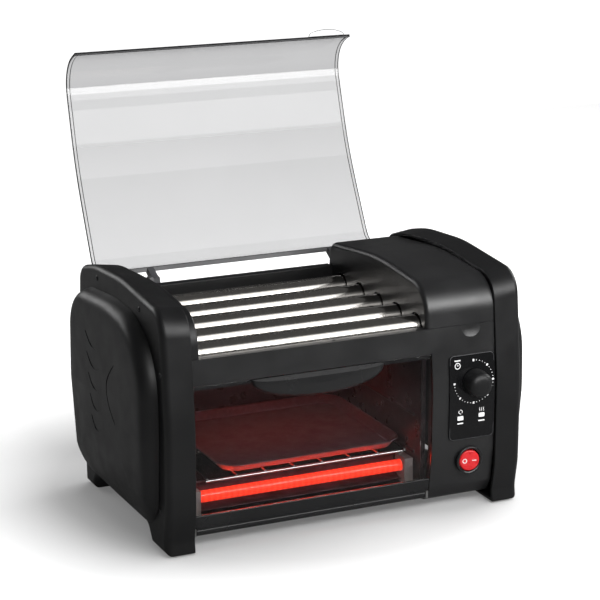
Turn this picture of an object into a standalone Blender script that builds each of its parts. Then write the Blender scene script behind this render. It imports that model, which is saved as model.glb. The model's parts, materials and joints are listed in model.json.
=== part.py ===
"""Hot dog roller grill with a small oven under its rollers.

The frame: +Z up, +X to the user's right, +Y towards the back.  Sizes below are millimetres; meshes
are made in metres.  A piece is drawn in body coordinates, where Y = 0 is the front of the feet and
Z = 0 is the table, and the empty "grill" moves the whole set back onto the frame's origin, under
the middle of its box with the hood open.
"""
import math

import bmesh
import bpy
from mathutils import Euler, Matrix, Vector

MM = 0.001
GAP = 0.3                      # clearance between pieces that touch

# ---- Driving dimensions ------------------------------------------------------------------------
ORIGIN_Y = 144.6               # body coordinate of the frame's origin
CAP_IN = 139.5                 # |x| of the end caps' inner edges
CAP_OUT = 165.0                # |x| of the end caps' outer walls
CAP_FLARE = 3.4                # rise of the caps' crowns from their inner to their outer edge
FOOT_Z = 1.6                   # underside of the end caps; the rubber pads stand below it
SKIN = 2.6                     # wall thickness of the plastic mouldings
BODY_X = CAP_IN - GAP          # half width of what sits between the end caps

BAY_LEFT = -132.5              # roller bay, inner faces of its two side walls
BAY_RIGHT = 74.5
WALL_STEP = 0.6                # the walls' edges sit this far inside the skins they carry
COLUMN_X = 78.8                # left edge of the control column
RAIL_LOW = 143.6               # underside of the front rail
RAIL_TOP = 165.2               # top of the front frame

ROLLER_COUNT = 5
ROLLER_PITCH = 36.0
ROLLER_Y = 23.2                # axis of the front roller
ROLLER_Z = 163.5
ROLLER_R = 10.0
SHAFT_R = 3.0

GEAR_TEETH = 20
PINION_TEETH = 10
GEAR_X = (88.0, 95.0)
IDLER_DROP = math.sqrt(20.0 ** 2 - (ROLLER_PITCH / 2) ** 2)

HOOD_PIVOT = (211.0, 175.8)    # hinge axis of the hood (y, z)
HOOD_OPEN = 112.0              # degrees from closed to fully open
HOOD_X = 138.7
HOOD_SHEET = 2.0
TAB_X = 113.0                  # middle of the hood's lift tab
TAB_HALF = 18.2
TAB_REACH = 8.4

DOOR_PIVOT = (7.2, 16.6)       # hinge axis of the oven door (y, z)
DOOR_X = (-138.8, 78.4)
DOOR_Z = (20.6, 143.2)

DIAL_X = 118.4
DIAL_Z = 115.0
SWITCH_X = 114.7
SWITCH_Z = 44.8
ROCKER_TILT = 8.0              # degrees each side of level

# Side outlines as corners (y, z, corner radius), from the front foot up, over and down the rear.
CAP_CORNERS = (
    (-1.7, FOOT_Z, 1.0), (-0.2, 13.0, 16.0), (-4.6, 38.0, 60.0), (-5.0, 112.0, 150.0),
    (5.2, 203.5, 24.0), (100.0, 211.2, 200.0), (165.0, 207.0, 150.0), (203.8, 197.6, 16.0),
    (207.0, 160.0, 60.0),
    (199.0, FOOT_Z, 1.0), (176.0, FOOT_Z, 1.0), (168.0, 15.0, 9.0), (44.0, 15.0, 9.0),
    (34.5, FOOT_Z, 1.0),
)
BODY_CORNERS = (
    (18.0, 8.0, 1.0), (9.0, 10.0, 8.0), (2.6, 22.0, 14.0), (-1.4, 52.0, 60.0),
    (-2.0, 112.0, 150.0), (6.0, 200.8, 29.0), (100.0, 208.4, 300.0), (195.5, 198.6, 13.0),
    (198.5, 160.0, 60.0), (194.0, 8.0, 5.0),
)
PANEL_CORNERS = (
    (15.5, 19.5, 30.0), (10.5, 100.0, 150.0), (13.5, 190.0, 66.0), (104.0, 195.5, 200.0),
    (197.5, 187.0, 40.0), (200.0, 110.0, 150.0), (196.0, 19.0, 26.0), (110.0, 18.5, 200.0),
)
PANEL_BULGE = ((0.0, 0.0), (1.2, 5.6), (3.6, 10.2), (7.5, 13.2), (14.0, 14.3), (30.0, 14.6),
               (54.0, 14.7))   # (inset from the panel's edge, height above the end cap)
PANEL_FADE_Z = 72.0            # below this the bulge sinks towards the end cap

# ---- Materials ---------------------------------------------------------------------------------
COLOURS = {                    # base colour, roughness, metallic
    "black_plastic": ((0.016, 0.016, 0.017), 0.42, 0.0),
    "gloss_black": ((0.010, 0.010, 0.011), 0.14, 0.0),
    "rubber": ((0.020, 0.020, 0.020), 0.85, 0.0),
    "clear_plastic": ((0.80, 0.81, 0.82), 0.05, 0.0),
    "glass": ((0.55, 0.55, 0.55), 0.04, 0.0),
    "stainless": ((0.70, 0.69, 0.68), 0.16, 1.0),
    "zinc_steel": ((0.50, 0.50, 0.50), 0.35, 1.0),
    "dark_enamel": ((0.030, 0.028, 0.028), 0.35, 0.4),
    "quartz_hot": ((0.90, 0.10, 0.03), 0.20, 0.0),
    "ceramic": ((0.78, 0.75, 0.68), 0.55, 0.0),
    "nylon": ((0.72, 0.70, 0.62), 0.50, 0.0),
    "red_plastic": ((0.70, 0.015, 0.02), 0.25, 0.0),
    "grey_plastic": ((0.055, 0.055, 0.058), 0.38, 0.0),
}


def clear_scene():
    for old in list(bpy.data.objects):
        bpy.data.objects.remove(old, do_unlink=True)


def material(name):
    found = bpy.data.materials.get(name)
    if found:
        return found
    colour, roughness, metallic = COLOURS[name]
    made = bpy.data.materials.new(name)
    made.use_nodes = True
    shader = made.node_tree.nodes["Principled BSDF"]
    shader.inputs["Base Color"].default_value = (*colour, 1.0)
    shader.inputs["Roughness"].default_value = roughness
    shader.inputs["Metallic"].default_value = metallic
    return made


# ---- Outline helpers, all in (y, z) ------------------------------------------------------------
def rounded(corners, degrees_per_step=15.0):
    """Closed outline through corners (a, b, radius), each corner turned into an arc."""
    points = []
    for index, (a, b, radius) in enumerate(corners):
        corner = Vector((a, b))
        before = (Vector(corners[index - 1][:2]) - corner).normalized()
        after = (Vector(corners[(index + 1) % len(corners)][:2]) - corner).normalized()
        half = before.angle(after) / 2
        centre = corner + (before + after).normalized() * (radius / math.sin(half))
        arm = corner + before * (radius / math.tan(half)) - centre
        turn = math.copysign(math.pi - 2 * half, before.x * after.y - before.y * after.x)
        steps = max(2, math.ceil(round(abs(math.degrees(turn)) / degrees_per_step, 3)))
        for step in range(steps + 1):
            angle = -turn * step / steps
            spun = Matrix.Rotation(angle, 2) @ arm
            points.append(centre + spun)
    return points


def inset(corners, distance):
    """The same corners moved inwards: outer radii shrink with it and hollow ones grow."""
    moved = []
    for index, (a, b, radius) in enumerate(corners):
        corner = Vector((a, b))
        before = (Vector(corners[index - 1][:2]) - corner).normalized()
        after = (Vector(corners[(index + 1) % len(corners)][:2]) - corner).normalized()
        outward = 1.0 if before.x * after.y > before.y * after.x else -1.0
        shift = distance / math.sin(before.angle(after) / 2)
        place = corner + (before + after).normalized() * shift * outward
        moved.append((*place, max(0.4, radius - outward * distance)))
    return moved


def offset(path, distance):
    """The path moved to the right of its own direction, which is inwards on these outlines."""
    moved = []
    for index, point in enumerate(path):
        last = path[index - 1] if index else None
        following = path[index + 1] if index < len(path) - 1 else None
        into = (point - last).normalized() if last is not None else None
        out = (following - point).normalized() if following is not None else None
        into = into or out
        out = out or into
        along = (into + out).normalized()
        normal = Vector((along.y, -along.x))
        moved.append(point + normal * (distance / max(0.5, along.dot(out))))
    return moved


def between(path, start_z, end_z):
    """The stretch of a path, monotonic in z, from start_z to end_z."""
    low, high = sorted((start_z, end_z))
    kept = []
    for first, second in zip(path, path[1:]):
        for limit in ((low, high) if second.y > first.y else (high, low)):
            if min(first.y, second.y) < limit < max(first.y, second.y):
                kept.append(first.lerp(second, (limit - first.y) / (second.y - first.y)))
        if low <= second.y <= high:
            kept.append(second)
    if low <= path[0].y <= high:
        kept.insert(0, path[0])
    return kept


def front_and_rear(outline):
    """Split an outline that starts at its front foot into its rising and its falling side."""
    peak = max(range(len(outline)), key=lambda index: outline[index].y)
    return outline[:peak + 1], outline[peak:]


def strip(path, near, far):
    """Closed cross-section of a skin between two offsets of one path."""
    return offset(path, near) + offset(path, far)[::-1]


BODY_FRONT, BODY_REAR = front_and_rear(rounded(BODY_CORNERS))


def front_y(z):
    """How far forward the body's front face is at height z."""
    return between(BODY_FRONT, z, 400.0)[0].x


def over_top(z_front, z_rear):
    """The body outline from the front face, over the crown, down to the rear."""
    return between(BODY_FRONT, z_front, 400.0) + between(BODY_REAR, 400.0, z_rear)[1:]


# ---- Mesh helpers, millimetres in, metres out --------------------------------------------------
def build(name, bm, finish, pivot=(0.0, 0.0, 0.0), turn=(0.0, 0.0, 0.0)):
    """One named piece from a bmesh in body coordinates, with its origin at the pivot."""
    bmesh.ops.remove_doubles(bm, verts=bm.verts, dist=0.001)
    bmesh.ops.recalc_face_normals(bm, faces=bm.faces)
    bmesh.ops.translate(bm, verts=bm.verts, vec=-Vector(pivot))
    bmesh.ops.scale(bm, verts=bm.verts, vec=(MM, MM, MM))
    mesh = bpy.data.meshes.new(name)
    bm.to_mesh(mesh)
    bm.free()
    mesh.materials.append(material(finish))
    mesh.shade_smooth()
    mesh.set_sharp_from_angle(angle=math.radians(35.0))
    piece = bpy.data.objects.new(name, mesh)
    piece.location = Vector(pivot) * MM
    piece.rotation_euler = Euler([math.radians(value) for value in turn])
    piece.parent = GRILL
    bpy.context.collection.objects.link(piece)
    return piece


def prism_into(bm, outline, low, high, axis="x"):
    """Extrude a closed outline along an axis; outline pairs are the two other axes in order."""
    order = {"x": lambda p, t: (t, p[0], p[1]),
             "y": lambda p, t: (p[0], t, p[1]),
             "z": lambda p, t: (p[0], p[1], t)}[axis]
    first = [bm.verts.new(order(point, low)) for point in outline]
    second = [bm.verts.new(order(point, high)) for point in outline]
    bm.faces.new(first[::-1])
    bm.faces.new(second)
    for index in range(len(outline)):
        after = (index + 1) % len(outline)
        bm.faces.new((first[index], first[after], second[after], second[index]))


def prism(name, outline, low, high, finish, axis="x", **place):
    bm = bmesh.new()
    prism_into(bm, outline, low, high, axis)
    return build(name, bm, finish, **place)


def rectangle(a0, a1, b0, b1):
    return [(a0, b0), (a1, b0), (a1, b1), (a0, b1)]


def rounded_rectangle(a0, a1, b0, b1, radius):
    corners = ((a0, b0, radius), (a0, b1, radius), (a1, b1, radius), (a1, b0, radius))
    return rounded(corners, 30.0)


def box(name, xs, ys, zs, finish, **place):
    return prism(name, rectangle(*ys, *zs), *xs, finish, **place)


def circle(a, b, radius, segments=16):
    turn = 2 * math.pi / segments
    return [(a + radius * math.cos(turn * i), b + radius * math.sin(turn * i))
            for i in range(segments)]


def rings_into(bm, rings):
    """Close a stack of equal-length rings of points into one skin with flat ends."""
    made = [[bm.verts.new(point) for point in ring] for ring in rings]
    for lower, upper in zip(made, made[1:]):
        for index in range(len(lower)):
            after = (index + 1) % len(lower)
            bm.faces.new((lower[index], lower[after], upper[after], upper[index]))
    bm.faces.new(made[0][::-1])
    bm.faces.new(made[-1])


def turned(name, profile, centre, finish, axis="x", segments=24, **place):
    """A solid of revolution from (position along the axis, radius) pairs, both ends flat."""
    order = {"x": lambda t, a, b: (t, centre[0] + a, centre[1] + b),
             "y": lambda t, a, b: (centre[0] + a, t, centre[1] + b),
             "z": lambda t, a, b: (centre[0] + a, centre[1] + b, t)}[axis]
    bm = bmesh.new()
    rings_into(bm, [[order(t, a, b) for a, b in circle(0, 0, radius, segments)]
                    for t, radius in profile])
    return build(name, bm, finish, **place)


def combine(target, tool, operation):
    """Boolean modifier on the target; the tool stays as a hidden guide."""
    cut = target.modifiers.new(operation.lower(), "BOOLEAN")
    cut.operation = operation
    cut.solver = "EXACT"
    cut.object = tool
    tool.hide_render = True
    tool.display_type = "WIRE"


def drill(target, name, centre, radius, low, high, axis="x", segments=16):
    """A round hole through the target, along an axis."""
    tool = prism(name + "_cutter", circle(*centre, radius, segments), low, high, "rubber", axis)
    combine(target, tool, "DIFFERENCE")


def add(target, name, outline, low, high, axis="x"):
    """Join a prism to the target, which stays one body."""
    tool = prism(name + "_joined", outline, low, high, "rubber", axis)
    combine(target, tool, "UNION")


def roller_axis(index):
    return ROLLER_Y + ROLLER_PITCH * index, ROLLER_Z


# ---- Housing -----------------------------------------------------------------------------------
def crown_flare(z):
    """How much higher an end cap's crown is at its outer side."""
    return CAP_FLARE * min(1.0, max(0.0, (z - 140.0) / 60.0))


def end_cap(name, side):
    """A deep tray standing on its edge: rounded outer rim, open towards the machine."""
    outside = ((CAP_IN, 0.0), (CAP_OUT - 6.0, 0.0), (CAP_OUT - 2.4, 1.0),
               (CAP_OUT - 0.7, 3.0), (CAP_OUT, 6.0))
    inside = ((CAP_OUT - SKIN, 7.0), (CAP_IN, SKIN))
    bm = bmesh.new()
    stack = []
    for x, depth in outside + inside:
        ring = rounded(inset(CAP_CORNERS, depth))
        share = (x - CAP_IN) / (CAP_OUT - CAP_IN)
        stack.append([bm.verts.new((side * x, p.x, p.y + share * crown_flare(p.y)))
                      for p in ring])
    loops = list(zip(stack, stack[1:]))
    last_outside = len(outside) - 1
    for index, (lower, upper) in enumerate(loops):
        if index == last_outside:
            continue
        for i in range(len(lower)):
            j = (i + 1) % len(lower)
            bm.faces.new((lower[i], lower[j], upper[j], upper[i]))
    for i in range(len(stack[0])):
        j = (i + 1) % len(stack[0])
        bm.faces.new((stack[0][i], stack[0][j], stack[-1][j], stack[-1][i]))
    bm.faces.new(stack[last_outside])
    bm.faces.new(stack[last_outside + 1])
    return build(name, bm, "black_plastic")


def bulge_height(height, z):
    """Height of the bulge where it sinks towards the bottom edge."""
    low = PANEL_CORNERS[0][1]
    share = min(1.0, max(0.0, (z - low) / (PANEL_FADE_Z - low)))
    return height * (0.22 + 0.78 * math.sin(share * math.pi / 2) ** 0.8)


def side_panel(name, side):
    """The bulged cover screwed onto an end cap, hollow on its inner side."""
    base = CAP_OUT + GAP
    bm = bmesh.new()

    def ring(depth, height):
        return [bm.verts.new((side * (base + bulge_height(height, p.y)), p.x, p.y))
                for p in rounded(inset(PANEL_CORNERS, depth), 18.0)]

    outer = [ring(*step) for step in PANEL_BULGE]
    inner = [ring(SKIN, 0.0), ring(9.0, 9.4), ring(54.0, 11.2)]
    for lower, upper in (*zip(outer, outer[1:]), *zip(inner, inner[1:]), (outer[0], inner[0])):
        for i in range(len(lower)):
            j = (i + 1) % len(lower)
            bm.faces.new((lower[i], lower[j], upper[j], upper[i]))
    bm.faces.new(outer[-1])
    bm.faces.new(inner[-1])
    return build(name, bm, "black_plastic")


def wall_edge():
    """Top edge of a bay wall, a little inside the skin that it carries."""
    return offset(over_top(RAIL_TOP + 1.4, 166.2), WALL_STEP)


def wall_underside(z):
    """Rest of a bay wall's outline: inside the rear panel, down to z, and up behind the rail."""
    return [Vector((194.5, 165.0)), Vector((187.2, 157.0)), Vector((187.2, z)),
            Vector((13.2, z)), Vector((13.2, RAIL_TOP + 1.0))]


def left_bearing_wall():
    """Inner wall at the left of the roller bay, with a flanged top edge under the hood."""
    path = over_top(RAIL_TOP + GAP, 165.0)
    outline = wall_edge() + wall_underside(146.0)
    wall = prism("left_bearing_wall", outline, BAY_LEFT - SKIN, BAY_LEFT, "black_plastic")
    add(wall, "left_wall_flange", strip(path, 0.0, SKIN), -BODY_X, BAY_LEFT - WALL_STEP)
    for index in range(ROLLER_COUNT):
        drill(wall, f"left_wall_hole_{index + 1}", roller_axis(index), 4.5, -141, BAY_LEFT + 2)
    return wall


def motor_cover():
    """Top of the right housing: a curved skin and the wall that the rollers pass through."""
    path = over_top(RAIL_TOP + GAP, 165.0)
    outline = wall_edge() + wall_underside(150.0)
    cover = prism("motor_cover", outline, BAY_RIGHT, BAY_RIGHT + SKIN, "black_plastic")
    add(cover, "motor_cover_skin", strip(path, 0.0, SKIN), BAY_RIGHT + WALL_STEP, BODY_X)
    for index in range(ROLLER_COUNT):
        drill(cover, f"cover_hole_{index + 1}", roller_axis(index), 11.6, BAY_RIGHT - 2,
              BAY_RIGHT + SKIN + 2)
    return cover


def front_frame():
    """One L-shaped moulding: the rail above the oven door and the control column beside it."""
    face = between(BODY_FRONT, 8.0, RAIL_TOP)
    inner = offset(face, SKIN)
    ledge_back = 11.6
    ledge_low = RAIL_TOP - 2.0
    inside = [point for point in inner if point.y < ledge_low - 1.0]
    section = face + [Vector((ledge_back, RAIL_TOP)), Vector((ledge_back, ledge_low)),
                      Vector((inner[-1].x - 0.2, ledge_low))] + inside[::-1]
    frame = prism("front_frame", section, -BODY_X, BODY_X, "black_plastic")
    opening = box("door_opening_cutter", (-BODY_X - 5.0, COLUMN_X), (-20.0, 40.0),
                  (0.0, RAIL_LOW), "rubber")
    combine(frame, opening, "DIFFERENCE")
    cheek = between(BODY_FRONT, 14.0, RAIL_TOP - 4.0)
    add(frame, "column_cheek", strip(cheek, 1.2, 9.0), COLUMN_X + 0.5, COLUMN_X + 2.4)
    drill(frame, "dial_hole", (DIAL_X, DIAL_Z), 4.5, -8, 8, "y")
    drill(frame, "switch_hole", (SWITCH_X, SWITCH_Z), 11.5, -8, 12, "y", 24)
    dimple = turned("thumb_dimple_cutter", [(-9.0, 17.0), (0.0, 14.2), (1.6, 12.0), (2.8, 8.0),
                                            (3.3, 3.0)],
                    (TAB_X + 4.0, RAIL_TOP + 1.5), "rubber", "y", 28)
    combine(frame, dimple, "DIFFERENCE")
    return frame


def label_plate():
    """Thin glossy plate with the dial print, bent to the column's front."""
    path = between(BODY_FRONT, 60.0, 144.0)
    plate = prism("label_plate", strip(path, -1.3, -GAP), 92.0, 140.0, "gloss_black")
    trim = prism("label_trim", rounded_rectangle(94.5, 138.3, 64.0, 140.0, 4.0), -8, 8, "rubber",
                 "y")
    combine(plate, trim, "INTERSECT")
    drill(plate, "label_hole", (DIAL_X, DIAL_Z), 4.4, -8, 8, "y")
    return plate


def rear_panel():
    """Back skin with two rows of upright vent slots and the cord inlet's hole."""
    path = between(BODY_REAR, 164.4, 14.0)
    panel = prism("rear_panel", strip(path, 0.0, SKIN), -BODY_X, BODY_X, "black_plastic")
    slots = bmesh.new()
    for row_z in (60.0, 108.0):
        for index in range(11):
            x = -110.0 + 16.0 * index
            prism_into(slots, rectangle(x - 2.0, x + 2.0, row_z - 15.0, row_z + 15.0),
                       185.0, 215.0, "y")
    combine(panel, build("rear_vents_cutter", slots, "rubber"), "DIFFERENCE")
    drill(panel, "inlet_hole", (112.0, 40.0), 7.0, 185.0, 215.0, "y")
    return panel


def cord_inlet():
    """Grommet in the back where the supply cord would enter."""
    rear = between(BODY_REAR, 40.0, 14.0)[0].x
    grommet = turned("cord_inlet_grommet",
                     [(rear - 6.0, 6.6), (rear + 0.6, 6.6), (rear + 0.6, 9.0), (rear + 4.0, 8.4),
                      (rear + 4.6, 7.2)], (112.0, 40.0), "rubber", "y")
    drill(grommet, "inlet_bore", (112.0, 40.0), 3.6, rear - 9.0, rear + 9.0, "y", 20)
    return grommet


def base_pan():
    """Steel bottom tray with a curled front sill and two lugs for the door's hinge rod."""
    floor_z = (9.6, 11.2)
    pan = box("base_pan", (-BODY_X, BODY_X), (19.0, 190.6), floor_z, "zinc_steel")
    for label, x0 in (("left", DOOR_X[0]), ("right", DOOR_X[1] - 2.0)):
        lug = [(DOOR_PIVOT[0] - 3.5, 13.4), (14.0, floor_z[0]), (24.0, floor_z[0]),
               (24.0, 11.0), (DOOR_PIVOT[0] + 3.5, 20.2), (DOOR_PIVOT[0] - 3.5, 20.2)]
        add(pan, f"hinge_lug_{label}", lug, x0, x0 + 2.0)
        drill(pan, f"hinge_lug_hole_{label}", DOOR_PIVOT, 1.9, x0 - 1.0, x0 + 3.0, segments=16)
    slots = bmesh.new()
    for index in range(9):
        x = -96.0 + 18.0 * index
        prism_into(slots, rectangle(x - 2.5, x + 2.5, 60.0, 140.0), 5.0, 15.0, "z")
    combine(pan, build("base_vents_cutter", slots, "rubber"), "DIFFERENCE")
    return pan


def rubber_feet():
    for side, hand in ((-1, "left"), (1, "right")):
        for y, end in ((16.0, "front"), (187.5, "rear")):
            turned(f"rubber_foot_{end}_{hand}", [(0.0, 6.6), (FOOT_Z - GAP, 7.2)],
                   (side * 152.0, y), "rubber", "z", 20)


# ---- Oven --------------------------------------------------------------------------------------
LINER_X = (-134.5, 76.0)
LINER_Y = (13.5, 188.0)
LINER_Z = (16.0, 138.6)
SHEET = 1.2


def oven_liner():
    """Sheet-metal box, open at the front."""
    liner = box("oven_liner", LINER_X, LINER_Y, LINER_Z, "dark_enamel")
    hollow = box("oven_hollow", (LINER_X[0] + SHEET, LINER_X[1] - SHEET),
                 (LINER_Y[0] - 9.0, LINER_Y[1] - SHEET), (LINER_Z[0] + SHEET, LINER_Z[1] - SHEET),
                 "rubber")
    combine(liner, hollow, "DIFFERENCE")
    return liner


def tray(name, xs, ys, zs, radius, wall, flare, finish):
    """An open pan with rounded corners; flare is how far its rim leans out."""
    bm = bmesh.new()
    stack = []
    for z, grow in ((zs[0], 0.0), (zs[1], flare), (zs[1], flare - wall), (zs[0] + wall, -wall)):
        ring = rounded_rectangle(xs[0] - grow, xs[1] + grow, ys[0] - grow, ys[1] + grow,
                                 radius + grow)
        stack.append([(p[0], p[1], z) for p in ring])
    rings_into(bm, stack)
    return build(name, bm, finish)


def wire_rack():
    """Shelf of two rails and cross wires, in one piece."""
    x_wires = [-118.0 + 26.3 * index for index in range(8)]
    rails_y = (26.0, 98.0, 170.0)
    half = 1.1
    bm = bmesh.new()
    for x in x_wires:
        prism_into(bm, rectangle(x - half, x + half, rails_y[0], rails_y[-1]), 52.4, 54.4, "z")
    rack = box("wire_rack", (x_wires[0] - half, x_wires[-1] + half),
               (rails_y[0] - half, rails_y[0] + half), (50.6, 52.8), "stainless")
    wires = build("rack_wires_joined", bm, "rubber")
    combine(rack, wires, "UNION")
    for index, y in enumerate(rails_y[1:]):
        add(rack, f"rack_rail_{index + 2}", rectangle(y - half, y + half, 50.6, 52.8),
            x_wires[0] - half, x_wires[-1] + half)
    return rack


def lower_heater():
    """Quartz tube across the oven's floor, in a ceramic holder at each end."""
    y, z = 34.0, 36.0
    turned("lower_heater", [(-126.0, 5.0), (68.0, 5.0)], (y, z), "quartz_hot", segments=16)
    for hand, x0, x1, hole in (("left", -132.6, -124.0, -127.0), ("right", 66.0, 74.2, 69.0)):
        holder = box(f"heater_holder_{hand}", (x0, x1), (y - 9.0, y + 9.0), (z - 14.0, z + 8.0),
                     "ceramic")
        inner = (x1 + 2.0, hole) if hand == "left" else (x0 - 2.0, hole)
        drill(holder, f"holder_bore_{hand}", (y, z), 5.4, min(inner), max(inner), segments=16)


def heater_reflector():
    """Polished trough behind and under the quartz tube."""
    centre_y, centre_z, radius, sheet = 33.0, 37.0, 12.6, 0.6
    arc = [math.radians(-105.0 + 11.25 * step) for step in range(17)]
    section = [(centre_y + radius * math.cos(a), centre_z + radius * math.sin(a)) for a in arc]
    section += [(centre_y + (radius - sheet) * math.cos(a), centre_z + (radius - sheet)
                 * math.sin(a)) for a in arc[::-1]]
    return prism("heater_reflector", section, -123.6, 65.6, "stainless")


def upper_heater():
    """Sheathed rod bent to a hairpin in the drip pan, under the rollers."""
    reach_x, y0, y1, z, radius = -118.0, 59.2, 131.2, 146.2, 2.7
    curve = bpy.data.curves.new("upper_heater", "CURVE")
    curve.dimensions = "3D"
    curve.bevel_depth = radius * MM
    curve.bevel_resolution = 2
    curve.use_fill_caps = True
    bend = (y1 - y0) / 2
    path = [(66.0, y0)]
    for step in range(13):
        angle = math.pi * (0.5 + step / 12)
        path.append((reach_x + bend + bend * math.cos(angle), (y0 + y1) / 2
                     - bend * math.sin(angle)))
    path.append((66.0, y1))
    line = curve.splines.new("POLY")
    line.points.add(len(path) - 1)
    for point, (x, y) in zip(line.points, path):
        point.co = (x * MM, y * MM, z * MM, 1.0)
    rod = bpy.data.objects.new("upper_heater", curve)
    curve.materials.append(material("quartz_hot"))
    rod.parent = GRILL
    bpy.context.collection.objects.link(rod)
    return rod


def oven_door():
    """Clear curved door with a hinge barrel along its lower edge."""
    path = between(BODY_FRONT, DOOR_Z[0], DOOR_Z[1])
    pivot = (0.0, *DOOR_PIVOT)
    door = prism("oven_door", strip(path, 0.0, SKIN), *DOOR_X, "glass", pivot=pivot)
    barrel_x = (DOOR_X[0] + 2.6, DOOR_X[1] - 2.6)
    add(door, "door_barrel", circle(*DOOR_PIVOT, 3.6, 20), *barrel_x)
    web = [(DOOR_PIVOT[0] - 3.0, DOOR_PIVOT[1] + 1.0), (DOOR_PIVOT[0] + 0.4, DOOR_PIVOT[1] + 3.0),
           (path[0].x + SKIN - 0.2, DOOR_Z[0] + 1.4), (path[0].x + 0.4, DOOR_Z[0] + 1.0)]
    add(door, "door_web", web, *barrel_x)
    drill(door, "door_bore", DOOR_PIVOT, 2.0, DOOR_X[0] - 4, DOOR_X[1] + 4, segments=16)
    return door


def door_hinge_rod():
    return turned("door_hinge_rod", [(DOOR_X[0], 1.5), (DOOR_X[1], 1.5)], DOOR_PIVOT,
                  "zinc_steel", segments=16)


HANDLE_X = -28.0
HANDLE_HALF = 60.0
HANDLE_DROP = 19.0
HANDLE_REACH = 13.0


def door_handle():
    """Half-moon pull: its flat top is level with the door's top edge."""
    top_z = DOOR_Z[1]
    levels = ((0.0, 1.0), (0.45, 0.93), (0.78, 0.74), (0.95, 0.45))
    bm = bmesh.new()
    segments = 20
    layers = []
    for depth, spread in levels:
        ring = []
        for step in range(segments + 1):
            angle = math.pi * step / segments
            x = HANDLE_X - HANDLE_HALF * spread * math.cos(angle)
            z = top_z - HANDLE_DROP * spread * math.sin(angle)
            y = front_y(min(z, top_z - 0.01)) - GAP - HANDLE_REACH * depth
            ring.append((x, y, z))
        layers.append(ring)
    rings_into(bm, layers)
    return build("door_handle", bm, "black_plastic", pivot=(0.0, *DOOR_PIVOT))


def drip_pan():
    return tray("drip_pan", (-130.5, 72.5), (14.5, 185.0), (139.4, 149.0), 5.0, 0.8, 0.4,
                "zinc_steel")


def rear_rail():
    """Rear edge of the roller bay."""
    section = [(187.5, 151.0), (190.0, 151.0), (190.0, 174.5), (197.0, 174.5), (196.5, 178.0),
               (187.5, 178.0)]
    return prism("bed_rear_rail", section, BAY_LEFT + GAP, BAY_RIGHT - GAP, "black_plastic")


# ---- Rollers and drive -------------------------------------------------------------------------
def gear_outline(teeth, phase):
    """Straight-flanked teeth of module 1, thinned for running clearance; 4 points a tooth."""
    pitch_radius = teeth / 2
    tip, root = pitch_radius + 0.85, pitch_radius - 1.2
    points = []
    for tooth in range(teeth):
        middle = math.radians(phase) + 2 * math.pi * tooth / teeth
        for radius, half_width in ((root, -1.02), (tip, -0.26), (tip, 0.26), (root, 1.02)):
            angle = middle + half_width / radius
            points.append((radius * math.cos(angle), radius * math.sin(angle)))
    return points


def gear(name, centre, teeth, phase, bore, finish):
    """Spur gear about an axis along X; phase is where one tooth points, degrees from +Y."""
    outline = gear_outline(teeth, phase)
    bore_points = [(bore * math.cos(angle), bore * math.sin(angle)) for angle in
                   (math.radians(phase) + 2 * math.pi * (k - 0.5) / teeth for k in range(teeth))]
    bm = bmesh.new()
    faces = []
    for x in GEAR_X:
        rim = [bm.verts.new((x, centre[0] + a, centre[1] + b)) for a, b in outline]
        eye = [bm.verts.new((x, centre[0] + a, centre[1] + b)) for a, b in bore_points]
        for tooth in range(teeth):
            after = (tooth + 1) % teeth
            corners = rim[4 * tooth:4 * tooth + 4]
            bm.faces.new([eye[tooth], *corners, eye[after]])
            bm.faces.new([eye[after], corners[-1], rim[4 * after]])
        faces.append((rim, eye))
    (rim_a, eye_a), (rim_b, eye_b) = faces
    for low, high in ((rim_a, rim_b), (eye_a, eye_b)):
        for index in range(len(low)):
            after = (index + 1) % len(low)
            bm.faces.new((low[index], low[after], high[after], high[index]))
    return build(name, bm, finish, pivot=(0.0, *centre))


def meshing_phase(own_phase, own_teeth, direction, other_teeth):
    """Phase of a gear that meshes with one at own_phase, direction degrees away from it."""
    lead = (direction - own_phase) * own_teeth / other_teeth
    return direction + 180.0 + 180.0 / other_teeth + lead


def rollers_and_gears():
    drop = math.degrees(math.atan2(-IDLER_DROP, ROLLER_PITCH / 2))
    phase = 0.0
    for index in range(ROLLER_COUNT):
        centre = roller_axis(index)
        turned(f"roller_{index + 1}",
               [(-138.6, SHAFT_R), (BAY_LEFT + 1.0, SHAFT_R),
                (BAY_LEFT + 1.0, ROLLER_R - 1.0), (BAY_LEFT + 2.0, ROLLER_R),
                (BAY_RIGHT + 3.5, ROLLER_R), (BAY_RIGHT + 3.5, SHAFT_R),
                (GEAR_X[1] + 2.0, SHAFT_R)],
               centre, "stainless", segments=24, pivot=(0.0, *centre))
        gear(f"roller_gear_{index + 1}", centre, GEAR_TEETH, phase, SHAFT_R + GAP, "nylon")
        if index == ROLLER_COUNT // 2:
            pinion_phase = meshing_phase(phase, GEAR_TEETH, -90.0, PINION_TEETH)
            pinion_centre = (centre[0], centre[1] - (GEAR_TEETH + PINION_TEETH) / 2)
            gear("motor_pinion", pinion_centre, PINION_TEETH, pinion_phase, 2.5 + GAP, "nylon")
        if index < ROLLER_COUNT - 1:
            idler_phase = meshing_phase(phase, GEAR_TEETH, drop, GEAR_TEETH)
            idler_centre = (centre[0] + ROLLER_PITCH / 2, centre[1] - IDLER_DROP)
            gear(f"idler_gear_{index + 1}", idler_centre, GEAR_TEETH, idler_phase, 2.5, "nylon")
            phase = meshing_phase(idler_phase, GEAR_TEETH, -drop, GEAR_TEETH)


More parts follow.
